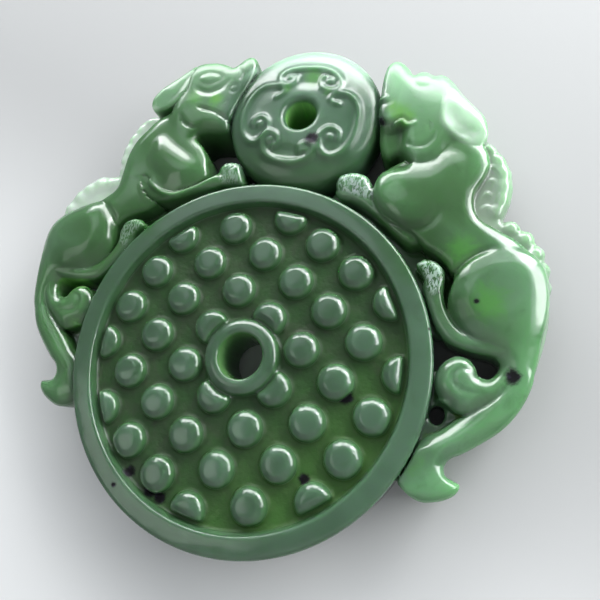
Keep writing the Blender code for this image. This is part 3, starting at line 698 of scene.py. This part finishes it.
def carve_head(stone, shape, left):
    """The skull with its snout lifted, a lower jaw set back, a full cheek, an eye and a long ear."""
    def slope(x, y):
        """The face falls away above a line over the snout and under the eye."""
        line = sum(np.interp(x + shift, *shape["brow"]) for shift in (-0.6, 0.0, 0.6)) / 3
        above = np.clip(y - line, 0, None)
        behind = 0.5 * ease(28.6 - y, 0, 3.4) if left else 0.4 * ease(x, 15.8, 18.0) * ease(30 - y, 1, 4)
        return (-0.09 if left else -0.17) * above * above / (above + 1.4) - behind

    if left:
        pillow(stone, shape["skull"], 0.05, 0.5, low=LIMB_LOW, dome=0.3, span=1.3, soft=0.9, lean=slope,
               bevel=1.3)
        button(stone, 12.9, 32.8, 2.0, 1.5, -0.35, edge=0.8, dome=0.5, soft=0.8)
        pillow(stone, shape["ear"], 0.2, 0.3, dome=0.12, span=0.7, soft=0.12, gap=0.1,
               lean=lambda x, y: -0.1 * np.clip(y - 31, 0, 7))
    else:
        pillow(stone, shape["skull"], 0.0, 0.6, low=LIMB_LOW, dome=0.4, span=1.6, soft=0.2, gap=0.04,
               lean=slope)
        pillow(stone, shape["mouth"], 2.5, 1.0, low=-0.62, soft=0.9, mode="cut")
        button(stone, 13.1, 34.5, 1.15, 0.95, -0.7, turn=25, edge=0.5, dome=0.45, soft=0.6)
        button(stone, 9.4, 31.6, 0.6, 0.45, 0.15, edge=0.35, dome=0.2, soft=0.4)
        pillow(stone, shape["ear"], 0.16, 0.3, dome=0.12, span=0.7, soft=0.45,
               lean=lambda x, y: (-0.15 * np.clip(y - 28.5, 0, 7) - 0.2 * np.clip(28.8 - y, 0, 2)
                                  - 0.04 * np.clip(x - 17, 0, 5)))


def carve_dragon(stone, left):
    """One dragon, cut on the +X side. The left one is turned over afterwards."""
    shape = LEFT if left else RIGHT
    carve_floor(stone)
    carve_mane(stone, left)
    carve_trunk(stone, shape, left)
    carve_body_lines(stone, shape, left)
    carve_legs(stone, shape, left)
    carve_tail(stone, left)
    carve_head(stone, shape, left)
    for path, width, depth in shape["lines"]:
        groove(stone, path, width, depth)
    carve_locks(stone, shape, left)
    carve_toes(stone)
    button(stone, *TAIL_HOLE, 0.75, 0.95, 5, edge=0.01, low=-12, dome=0, soft=0.35, mode="cut")


# ---- The whole stone --------------------------------------------------------------------------

def axis(low, high):
    return (low + (np.arange(round((high - low) / VOXEL)) + 0.5) * VOXEL).astype(REAL)


def carve_pair(stone):
    """Both dragons. Each is carved on the +X side, and the left one is then turned over."""
    x = stone.x
    for left in (False, True):
        half = Stone(x[x > HALF_START], stone.y, stone.z)
        carve_dragon(half, left)
        if left:
            half.field = half.field[::-1]
        side = slice(0, len(half.x)) if left else slice(len(x) - len(half.x), None)
        stone.field[side] = np.minimum(stone.field[side], half.field)


def carve_pendant():
    x = axis(-REACH[0], REACH[0])
    y = axis(-DISC_RADIUS - MARGIN, REACH[1])
    z = axis(-THICK - MARGIN, REACH[2])
    stone = Stone(x, y, z)
    carve_pair(stone)
    disc = carve_disc(stone)
    bead = carve_bead(stone)
    front = (z > SEAM_LOW)[None, None, :]
    beyond = np.hypot(x[:, None, None], y[None, :, None]) - DISC_RADIUS
    stone.field = np.where(front, smooth_max(stone.field, DISC_SEAM - beyond, 0.25), stone.field)
    stone.field = smooth_min(stone.field, disc, 0.15)
    stone.field = np.where(front, smooth_max(stone.field, BEAD_SEAM - bead, 0.25), stone.field)
    stone.field = smooth_min(stone.field, bead, 0.2)
    carve_scrolls(stone)
    stone.field = smooth_max(stone.field, -(z + THICK)[None, None, :], 0.5).astype(REAL)
    return stone


def hollowness(stone, reach):
    """How much stone is near each place: half on a flat face, more in a hollow, less on an edge."""
    share = np.clip(0.5 - stone.field / VOXEL, 0, 1)
    for direction in range(3):
        share = averaged(share, round(reach / VOXEL), direction, "constant", np.float64).astype(REAL)
    return share


def surface(stone):
    """Surface nets: a point in every cell that the surface crosses, a quad for every crossed edge."""
    field = stone.field
    solid = field < 0
    strides = np.array([field.shape[1] * field.shape[2], field.shape[2], 1])
    points = []
    rings = []
    for direction in range(3):
        ahead = [slice(None)] * 3
        behind = [slice(None)] * 3
        ahead[direction] = slice(1, None)
        behind[direction] = slice(0, -1)
        crossed = np.argwhere(solid[tuple(ahead)] != solid[tuple(behind)])
        further = crossed.copy()
        further[:, direction] += 1
        near = field[tuple(crossed.T)]
        far = field[tuple(further.T)]
        point = crossed.astype(float)
        point[:, direction] += near / (near - far)
        one = strides[(direction + 1) % 3]
        two = strides[(direction + 2) % 3]
        cell = crossed @ strides
        ring = np.stack([cell - one - two, cell - two, cell, cell - one], axis=1)
        ring[near > 0] = ring[near > 0][:, ::-1]
        points.append(point)
        rings.append(ring)
    points = np.vstack(points)
    rings = np.vstack(rings)
    cells, corner = np.unique(rings, return_inverse=True)
    corner = corner.reshape(-1)
    count = np.bincount(corner, minlength=len(cells))
    grid = np.stack([np.bincount(corner, np.repeat(points[:, k], 4)) / count for k in range(3)], axis=1)
    return grid, corner.reshape(-1, 4)


# ---- Masks for the finish ---------------------------------------------------------------------

def beside(x, y, outline):
    """Signed distance in plan to a soft closed outline, negative inside."""
    return within(x, y, spline(outline, 4, closed=True))


def dragon_masks(shape, x, y):
    """One dragon's thin mane, its paws, and the painted shade on its jaw, belly and haunch."""
    out = np.hypot(x, y)
    behind = beside(x, y, shape["trunk"]) + 0.35 * np.clip(y - 27.5, 0, 2)
    behind = ease(behind, -0.15, 0.3) * ease(out, 25.2, 26.8) * ease(28.8 - y, 0.0, 0.6)
    flange = behind * ease(x, 18.3, 19.8) * ease(y, 3.0, 7.0)
    front, hind = (ease(-beside(x, y, shape[name]), 0.0, 0.5) for name in ("front_paw", "hind_paw"))
    # Painted shade under the jaw, on the belly and on the haunch.
    jaw = ease(-beside(x, y, shape["mouth"]), -0.5, 0.6) * ease(x, 7.8, 9.2)
    belly = ease(25.6 - out, 0.0, 2.5) * ease(x, 12.5, 15.0) * ease(y, 10.5, 12.5) * ease(20.0 - y, 0.0, 3.0)
    for px, py, reach in shape["shades"]:
        shade = 0.8 * ease(reach - np.hypot(x - px, y - py), 0.0, 0.7 * reach)
        belly = np.maximum(belly, shade)
    return flange, np.maximum(front, hind), np.maximum(jaw, 0.8 * belly)


def masks(x, y, z):
    """Where each kind of surface is on the carving, from 0 to 1."""
    out = np.hypot(x, y)
    from_bead = np.hypot(x, y - BEAD_RISE)
    from_drill = np.hypot(x, y - FACE_RISE) - BEAD_HOLE_RADIUS
    floor = 1 - np.clip((out - RIM_INSIDE + 0.3) / 0.4, 0, 1)
    walls = ease(RIM_INSIDE + 0.45 - out, 0.0, 0.3) * ease(out, RING_RADIUS - 0.5, RING_RADIUS - 0.2)
    drilled = np.maximum(ease(0.3 - from_drill, 0.0, 0.4), 0.3 * ease(HOLE_RADIUS + 0.3 - out, 0.0, 0.4))
    opening = ease(2.3 - np.hypot(x - LIT_OPENING[0], y - LIT_OPENING[1]), 0.0, 0.8)
    sides = zip(dragon_masks(RIGHT, np.abs(x), y), dragon_masks(LEFT, np.abs(x), y))
    flange, paw, jaw = (np.where(x > 0, right, left) for right, left in sides)
    return {
        "sunk": floor * np.clip((-0.95 - z) / 0.25, 0, 1) * (z > -3),
        "cut": walls * ease(-z, 0.04, 0.12) * ease(z, -0.6, -0.45),
        "wall": walls * ease(-z, 0.25, 0.5) * ease(z, -1.3, -0.9),
        "beast": np.clip(out - DISC_RADIUS, 0, 1) * np.clip(from_bead - BEAD_RADIUS, 0, 1),
        "bead": ease(BEAD_RADIUS + 0.2 - from_bead, 0.0, 0.4) * ease(out, DISC_RADIUS - 0.2, DISC_RADIUS),
        "bore": np.maximum(drilled * ease(-z, -0.3, 0.6), opening * ease(-z, 0.6, 1.6)),
        "flange": flange,
        "paw": paw * ease(z, -1.6, -1.0),
        "jaw": jaw,
        "ear": ease(-beside(x, y, RIGHT["ear"]), -0.3, 0.6) * ease(z, -1.2, -0.4),
    }


# ---- The piece --------------------------------------------------------------------------------

def disc_middle():
    """The middle of the disc at the top of its rim, in the frame, in metres."""
    corner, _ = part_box(NODE)
    return 0.0, corner.y + DISC_RADIUS * MM, corner.z + THICK * MM


def add_object(name, data):
    obj = bpy.data.objects.new(name, data)
    bpy.context.scene.collection.objects.link(obj)
    return obj


def new_mesh(name, places, quads):
    mesh = bpy.data.meshes.new(name)
    mesh.vertices.add(len(places))
    mesh.vertices.foreach_set("co", places.astype(REAL).ravel())
    mesh.loops.add(quads.size)
    mesh.loops.foreach_set("vertex_index", quads.astype(np.int32).ravel())
    mesh.polygons.add(len(quads))
    mesh.polygons.foreach_set("loop_start", np.arange(0, quads.size, 4, dtype=np.int32))
    return mesh


def make_pendant():
    stone = carve_pendant()
    grid, quads = surface(stone)
    local = grid * VOXEL + np.array([stone.x[0], stone.y[0], stone.z[0]], float)
    mesh = new_mesh("jade_carving", local * MM + disc_middle(), quads)
    nearest = tuple(np.rint(grid).astype(int).T)
    values = {name: hollowness(stone, reach)[nearest] for name, reach in (("hollow", 0.7), ("bulk", 3.4))}
    values.update(masks(*local.T))
    for name, value in values.items():
        mesh.attributes.new(name, "FLOAT", "POINT").data.foreach_set("value", value)
    mesh.update(calc_edges=True)
    mesh.validate()
    carving = add_object("jade_carving", mesh)
    thin = carving.modifiers.new("thin", "DECIMATE")
    thin.ratio = min(1.0, TRIANGLES / (2 * len(quads)))
    graph = bpy.context.evaluated_depsgraph_get()
    carving.data = bpy.data.meshes.new_from_object(carving.evaluated_get(graph))
    carving.modifiers.clear()
    carving.data.shade_smooth()
    return carving


# ---- Jade -------------------------------------------------------------------------------------

class Nodes:
    """Short calls for laying out a material's nodes."""

    def __init__(self, material):
        material.use_nodes = True
        self.tree = material.node_tree
        self.shader = self.tree.nodes["Principled BSDF"]
        self.coords = self.add("ShaderNodeTexCoord").outputs["Object"]
        place = self.add("ShaderNodeSeparateXYZ")
        self.link(self.coords, place.inputs[0])
        self.x, self.y, self.z = place.outputs

    def add(self, kind, **settings):
        node = self.tree.nodes.new(kind)
        for name, value in settings.items():
            setattr(node, name, value)
        return node

    def link(self, source, target):
        self.tree.links.new(source, target)

    def set(self, name, value):
        self.shader.inputs[name].default_value = value

    def noise(self, coords, scale, detail=3.0, roughness=0.5, distortion=0.0):
        node = self.add("ShaderNodeTexNoise")
        node.inputs["Scale"].default_value = scale
        node.inputs["Detail"].default_value = detail
        node.inputs["Roughness"].default_value = roughness
        node.inputs["Distortion"].default_value = distortion
        self.link(coords, node.inputs["Vector"])
        return node.outputs["Fac"]

    def span(self, value, low, high, to_low=0.0, to_high=1.0):
        """Maps a range of a value smoothly onto another."""
        node = self.add("ShaderNodeMapRange", interpolation_type="SMOOTHSTEP")
        for socket, number in zip(node.inputs[1:5], (low, high, to_low, to_high)):
            socket.default_value = number
        self.link(value, node.inputs["Value"])
        return node.outputs["Result"]

    def mix(self, share, one, two):
        """Mixes two colours, each a tuple or a socket."""
        node = self.add("ShaderNodeMix", data_type="RGBA")
        self.link(share, node.inputs[0])
        for socket, colour in ((node.inputs[6], one), (node.inputs[7], two)):
            if isinstance(colour, tuple):
                socket.default_value = (*colour, 1.0)
            else:
                self.link(colour, socket)
        return node.outputs[2]

    def math(self, operation, one, two):
        node = self.add("ShaderNodeMath", operation=operation)
        for socket, value in zip(node.inputs, (one, two)):
            if isinstance(value, (int, float)):
                socket.default_value = value
            else:
                self.link(value, socket)
        return node.outputs[0]

    def times(self, first, *others):
        for other in others:
            first = self.math("MULTIPLY", first, other)
        return first

    def most(self, first, *others):
        for other in others:
            first = self.math("MAXIMUM", first, other)
        return first

    def rest(self, share):
        return self.math("SUBTRACT", 1.0, share)


OLIVE = (0.023, 0.066, 0.018)
GREY = (0.036, 0.079, 0.042)
MOSS = (0.034, 0.058, 0.026)
LEAF = (0.036, 0.096, 0.030)
# Painted glow in the holes, brighter towards the top.
GLOW = (0.230, 0.560, 0.130)
DEEP = (0.110, 0.340, 0.060)
# Painted light: a lighter olive for the hollows towards the lower right.
LOWER_RIGHT_GLOW = (0.045, 0.125, 0.022)
BLACK = (0.007, 0.007, 0.008)
# Painted glints in the dark grains.
GLINT = (0.020, 0.015, 0.027)
# Painted light: a lighter green for the creases towards the lower right.
LIME = (0.085, 0.210, 0.040)
# Painted glow of light through thin parts of the dragons.
LIVELY_THIN_GLOW = (0.055, 0.168, 0.054)
MILKY = (0.105, 0.190, 0.125)
# Painted glow: paler up the heads and along thin outer edges.
PALE_GLOW = (0.200, 0.420, 0.210)
# Painted glare on the crowns of the heads and the upper bead.
PAINTED_GLARE = (0.330, 0.500, 0.370)
VIVID = (0.058, 0.210, 0.030)
# Painted glow of light through thin parts of the heads.
SPARK_GLOW = (0.100, 0.270, 0.035)
# Painted sparkle off the engraved lines of the paws.
SCRATCH_SPARKLE = (0.300, 0.370, 0.340)
# Painted glow of light through the thin mane.
MANE_GLOW = (0.580, 0.650, 0.580)
# Painted glare on the ear.
EAR_GLARE = (0.440, 0.570, 0.450)
# Painted shade for the jaws, bellies and haunches.
SHADE = (0.030, 0.080, 0.026)
# Painted glow on the disc's inner walls.
WALL_GLOW = (0.055, 0.130, 0.050)

# Dark grains in the stone: place beside the disc's middle and radius, in millimetres.
GRAINS = (
    (9.65, 29.0, -0.3, 0.62), (2.2, 25.55, 0.6, 0.85), (27.1, 3.3, -0.6, 0.75), (22.7, 9.8, 0.5, 0.34),
    (20.4, -5.1, -1.0, 0.2), (11.96, -1.83, -1.3, 0.75), (9.44, -10.49, -1.2, 0.6),
    (-5.1, -16.0, -1.3, 0.65), (-6.4, -15.6, -1.3, 0.75), (-9.3, -14.4, -1.2, 0.65),
    (-10.0, -15.9, 0.0, 0.3), (10.05, 10.6, -1.3, 0.2), (18.8, 6.4, 0.0, 0.16),
)
# Places where the stone is a more vivid green, partly its own tone and partly a painted glow of light
# through thin stone.
FLUSHES = (
    (19.0, -6.3, -1.2, 1.9), (0.5, 33.7, 0.2, 1.5), (-11.3, 29.9, 0.2, 1.3), (-14.2, 30.0, 0.2, 1.6),
    (20.4, 15.0, 0.0, 2.3), (23.6, 9.9, 0.6, 2.4), (-21.3, -0.4, -1.0, 1.2), (2.8, 31.9, 0.4, 0.8),
    (-2.3, 31.9, 0.4, 0.8),
)
# Places where it is brighter still: a painted glow of light through thin parts of the heads.
SPARKS = (
    (10.4, 30.5, 0.3, 1.0), (11.3, 29.9, 0.3, 1.3), (12.3, 29.4, 0.3, 1.0), (-11.2, 30.2, 0.2, 0.8),
)
# The masks that the carving carries.
MASKS = ("hollow", "bulk", "sunk", "beast", "bead", "jaw", "flange", "ear", "wall", "bore", "paw", "cut")
# How far a smooth crown or flank goes from the highest polish to the dullest.
SHEEN = 0.47
SUBSURFACE_RADIUS = (0.55, 1.0, 0.5)
SUBSURFACE_SCALE = 2.2
BUMP_DEPTH = 0.2


def nearness(n, places, low, high):
    """How near a surface is to the closest of several places, with ragged or soft edges."""
    middle = disc_middle()
    nearest = None
    for *spot, radius in places:
        away = n.add("ShaderNodeVectorMath", operation="DISTANCE")
        n.link(n.coords, away.inputs[0])
        away.inputs[1].default_value = [start + step * MM for start, step in zip(middle, spot)]
        share = n.math("DIVIDE", away.outputs["Value"], radius * MM)
        nearest = share if nearest is None else n.math("MINIMUM", nearest, share)
    ragged = n.times(n.noise(n.coords, 520.0, 5.0, 0.75, 1.0), 1.6)
    return n.span(n.math("ADD", nearest, ragged), low, high, 1.0, 0.0)


def scratch_sparkle(n):
    """Fine tool marks along a paw, left pale between dark flecks; the pale is a painted sparkle of light off
    the engraved lines.
    """
    along_paw = n.add("ShaderNodeVectorMath", operation="MULTIPLY")
    n.link(n.coords, along_paw.inputs[0])
    along_paw.inputs[1].default_value = (1.0, 0.4, 0.7)
    return n.span(n.noise(along_paw.outputs["Vector"], 3400.0, 2.0, 0.6, 1.0), 0.42, 0.56, 0.0, 0.85)


class Jade(Nodes):
    """The stone, painted layer over layer by the masks kept on the carving."""

    def __init__(self, material):
        super().__init__(material)
        for name in MASKS:
            setattr(self, name, self.add("ShaderNodeAttribute", attribute_name=name).outputs["Fac"])
        self.wisp = self.noise(self.coords, 260.0, 4.0, 0.6, 1.2)
        self.crown = self.times(self.span(self.y, 17 * MM, 26 * MM), self.beast)
        # Creases, which get painted shade, lighter towards the lower right, and a duller polish.
        self.crease = self.times(self.span(self.hollow, 0.62, 0.78), self.beast, self.rest(self.flange))
        self.dull = self.most(self.sunk, self.crease)
        self.grain = nearness(self, GRAINS, 1.4, 2.1)
        self.colour = GREY

    def paint(self, colour, *shares):
        """Lays a colour over the ones before, by the product of its shares."""
        self.colour = self.mix(self.times(*shares), self.colour, colour)


def paint_stone(n):
    """Grey green in the disc and cloudy all over, with a painted glow of light through thin stone: a
    livelier green in thin parts of the dragons, paler up the heads and along thin outer edges, stronger on
    the right dragon.
    """
    thin = n.span(n.bulk, 0.47, 0.28)
    side = n.span(n.x, -6 * MM, 18 * MM, 0.25, 1.0)
    # Painted glow of light through thin stone, stronger on the right dragon.
    n.paint(n.mix(n.times(side, thin), LEAF, LIVELY_THIN_GLOW), n.beast)
    # Painted glow, paler up the heads and necks and where the stone is thin.
    n.paint(PALE_GLOW, n.span(n.y, 11 * MM, 25 * MM), n.beast, side, n.span(n.bulk, 0.6, 0.3, 0.15, 0.75))
    # Painted glow, paler along the outer edges and in thin parts.
    n.paint(PALE_GLOW, n.most(n.span(n.x, 20 * MM, 30 * MM), thin), n.beast, side, 0.3)
    n.paint(MILKY, n.span(n.noise(n.coords, 70.0, 3.0, 0.55, 0.5), 0.45, 0.75, 0.0, 0.4))
    n.paint(OLIVE, n.span(n.wisp, 0.5, 0.8, 0.0, 0.35))


def paint_parts(n):
    """Painted glare on the crowns, the ear and the upper bead, a painted glow in the thin mane and on the
    disc's inner walls, and painted shade on the lower bead, the jaws, bellies and haunches.
    """
    # Painted glare on the crowns of the heads.
    n.paint(PAINTED_GLARE, n.crown, n.span(n.x, 0.0, 8 * MM, 0.12, 0.3))
    # Painted glare on the upper bead, stronger where it is thin.
    n.paint(PAINTED_GLARE, n.bead, n.span(n.y, 21 * MM, 28 * MM), n.span(n.bulk, 0.5, 0.36, 0.1, 0.8))
    # Painted shade on the lower bead.
    n.paint(LEAF, n.bead, n.span(n.y, 18 * MM, 12 * MM, 0.0, 0.6))
    # Painted shade on the jaws, bellies and haunches.
    n.paint(SHADE, n.jaw, 0.8)
    # Painted glow in the thin mane.
    n.paint(MANE_GLOW, n.flange, n.span(n.x, -6 * MM, 6 * MM, 0.58, 0.28))
    # Painted glare on the ear.
    n.paint(EAR_GLARE, n.ear, 0.6)
    # Painted glow on the disc's inner walls.
    n.paint(WALL_GLOW, n.wall, 0.6)


def paint_flushes(n):
    """Vivid patches, partly the stone's own tone and partly a painted glow of light through thin stone, kept
    off the disc.
    """
    off_disc = n.most(n.beast, n.bead)
    # Vivid patches: partly the stone's own tone, partly painted glow.
    n.paint(VIVID, nearness(n, FLUSHES, 0.9, 1.9), off_disc, 0.7)
    # Painted glow of light through thin parts of the heads.
    n.paint(SPARK_GLOW, nearness(n, SPARKS, 0.8, 2.3), off_disc, 0.65)


def paint_hollows(n):
    """Painted shade in the sunken field and the creases, lighter towards the lower right as painted light,
    and a painted glow in the holes.
    """
    lit_lower_right = n.span(n.math("SUBTRACT", n.x, n.y), 14 * MM, 34 * MM, 0.0, 0.8)
    # Painted shade in the sunken field, lighter towards the lower right.
    n.paint(n.mix(lit_lower_right, n.mix(n.span(n.wisp, 0.35, 0.75), OLIVE, MOSS), LOWER_RIGHT_GLOW), n.sunk)
    # Painted shade in the creases, lighter towards the lower right.
    n.paint(n.mix(lit_lower_right, OLIVE, LIME), n.crease)
    # Painted glow in the holes.
    n.paint(n.mix(n.span(n.z, 4.5 * MM, 7.0 * MM), DEEP, GLOW), n.bore)


def paint_marks(n):
    """Tool marks with a painted sparkle on the paws, stronger on the right, and the dark grains with painted
    glints.
    """
    # Painted sparkle off the engraved lines of the paws.
    n.paint(SCRATCH_SPARKLE, n.paw, scratch_sparkle(n), n.span(n.x, -6 * MM, 6 * MM, 0.4, 1.0))
    # Dark grains with painted glints.
    n.paint(n.mix(n.span(n.noise(n.coords, 1300.0, 2.0), 0.5, 0.7), BLACK, GLINT), n.grain)


def polish(n):
    """A high polish, softer on crowns and the bead's flank, and dull in hollows and on grains."""
    flank = n.times(n.bead, n.span(n.z, 6.0 * MM, 8.2 * MM, 1.0, 0.6))
    worn = n.most(n.times(n.crown, SHEEN), n.times(flank, SHEEN), n.dull, n.grain)
    n.link(n.span(worn, 0.0, 1.0, 0.13, 0.42), n.shader.inputs["Roughness"])
    lee = n.times(n.span(n.x, 4 * MM, 6.5 * MM), n.span(n.y, 26 * MM, 20 * MM), n.bead, 0.95)
    matt = n.most(n.times(n.most(n.bead, n.crown), 0.35), lee, n.dull, n.times(n.jaw, 0.9))
    gloss = n.times(n.span(matt, 0.0, 1.0, 0.5, 0.15), n.rest(n.times(n.grain, 0.8)))
    n.link(gloss, n.shader.inputs["Specular IOR Level"])
    n.set("IOR", 1.61)


def roughen(n):
    """A fine ground texture in the sunken field and on its walls."""
    bump = n.add("ShaderNodeBump")
    bump.inputs["Distance"].default_value = BUMP_DEPTH * MM
    ground = n.most(n.sunk, n.times(n.cut, 0.5))
    n.link(n.span(ground, 0.0, 1.0, 0.03, 0.5), bump.inputs["Strength"])
    n.link(n.noise(n.coords, 1500.0, 2.0), bump.inputs["Height"])
    n.link(bump.outputs["Normal"], n.shader.inputs["Normal"])


def jade_material():
    material = bpy.data.materials.new("polished_jade")
    n = Jade(material)
    for layer in (paint_stone, paint_parts, paint_flushes, paint_hollows, paint_marks, polish, roughen):
        layer(n)
    n.link(n.colour, n.shader.inputs["Base Color"])
    n.set("Subsurface Weight", 1.0)
    n.set("Subsurface Radius", SUBSURFACE_RADIUS)
    n.set("Subsurface Scale", SUBSURFACE_SCALE * MM)
    return material


# ---- Studio -----------------------------------------------------------------------------------

CAMERA_PLACE = (21.54, -5.32, 54.25)
CAMERA_AIM = (5.14, 7.04, 0.0)
CAMERA_ROLL = 13.456
LENS = 32.92

WINDOW = (-0.08, 0.87, 0.48)
SIDE_WINDOW = (0.72, 0.50, 0.48)
WHITE = (1.0, 1.0, 1.0)
HAZE = (0.9, 0.97, 1.0)
# Soft lights: direction from the pendant, distance, width and height in metres, radiance and tint.
LIGHTS = {
    "window": (WINDOW, 0.20, 0.34, 0.060, 9.0, WHITE),
    "side_window": (SIDE_WINDOW, 0.20, 0.20, 0.060, 9.0, WHITE),
    "window_haze": (WINDOW, 0.19, 0.38, 0.120, 2.4, HAZE),
    "side_haze": (SIDE_WINDOW, 0.19, 0.22, 0.120, 2.4, HAZE),
    "sky": ((-0.36, 0.36, 0.86), 0.40, 0.17, 0.17, 1.0, (0.86, 0.95, 1.0)),
    "low_sky": ((-0.47, -0.20, 0.86), 0.40, 0.15, 0.15, 1.3, (0.95, 1.0, 0.95)),
    "fill": ((0.15, -0.75, 0.65), 0.45, 0.70, 0.50, 0.35, (1.0, 0.98, 0.96)),
}
FLOOR_SIZE = 3.0
FLOOR_GAP = 0.02


def in_frame(place):
    """A place beside the disc's middle, in millimetres, as a point of the frame in metres."""
    return Vector([start + step * MM for start, step in zip(disc_middle(), place)])


def add_camera():
    camera = bpy.data.cameras.new("camera")
    camera.lens = LENS
    camera.sensor_width = 36.0
    camera.clip_start = 0.001
    obj = add_object("camera", camera)
    place = in_frame(CAMERA_PLACE)
    ahead = (in_frame(CAMERA_AIM) - place).normalized()
    up = Vector((0, 1, 0)) - ahead * ahead.y
    up = Matrix.Rotation(math.radians(CAMERA_ROLL), 3, -ahead) @ up.normalized()
    right = ahead.cross(up)
    obj.matrix_world = Matrix.Translation(place) @ Matrix((right, up, -ahead)).transposed().to_4x4()
    bpy.context.scene.camera = obj


def add_softbox(name, direction, distance, width, height, radiance, tint):
    """A soft light that faces the pendant. Its power follows from its radiance."""
    light = bpy.data.lights.new(name, "AREA")
    light.shape = "RECTANGLE"
    light.size = width
    light.size_y = height
    light.energy = radiance * math.pi * width * height
    light.color = tint
    obj = add_object(name, light)
    away = Vector(direction).normalized()
    facing = away.to_track_quat("Z", "Y").to_matrix().to_4x4()
    obj.matrix_world = Matrix.Translation(away * distance) @ facing
    obj.visible_camera = False


def floor_material():
    """Pale and matt, and darker towards the window so that its lit side doesn't burn out."""
    material = bpy.data.materials.new("pale_floor")
    n = Nodes(material)
    towards_window = n.math("ADD", n.times(n.x, 0.35), n.y)
    n.link(n.span(towards_window, -39 * MM, 13 * MM, 0.64, 0.33), n.shader.inputs["Base Color"])
    n.set("Roughness", 0.9)
    n.set("Specular IOR Level", 0.0)
    return material


def add_floor():
    reach = FLOOR_SIZE / 2
    mesh = bpy.data.meshes.new("floor")
    corners = [(-reach, -reach, 0), (reach, -reach, 0), (reach, reach, 0), (-reach, reach, 0)]
    mesh.from_pydata(corners, [], [(0, 1, 2, 3)])
    mesh.materials.append(floor_material())
    floor = add_object("floor", mesh)
    floor.location.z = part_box(NODE)[0].z - FLOOR_GAP * MM


def add_world():
    world = bpy.data.worlds.new("studio")
    world.use_nodes = True
    backdrop = world.node_tree.nodes["Background"]
    backdrop.inputs["Color"].default_value = (0.80, 0.85, 0.90, 1.0)
    backdrop.inputs["Strength"].default_value = 0.42
    bpy.context.scene.world = world


def main():
    pendant = make_pendant()
    pendant.data.materials.append(jade_material())
    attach(pendant, "root")
    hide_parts(NODE)
    add_floor()
    add_world()
    for name, settings in LIGHTS.items():
        add_softbox(name, *settings)
    bpy.context.scene.view_settings.view_transform = "Standard"
    add_camera()


main()
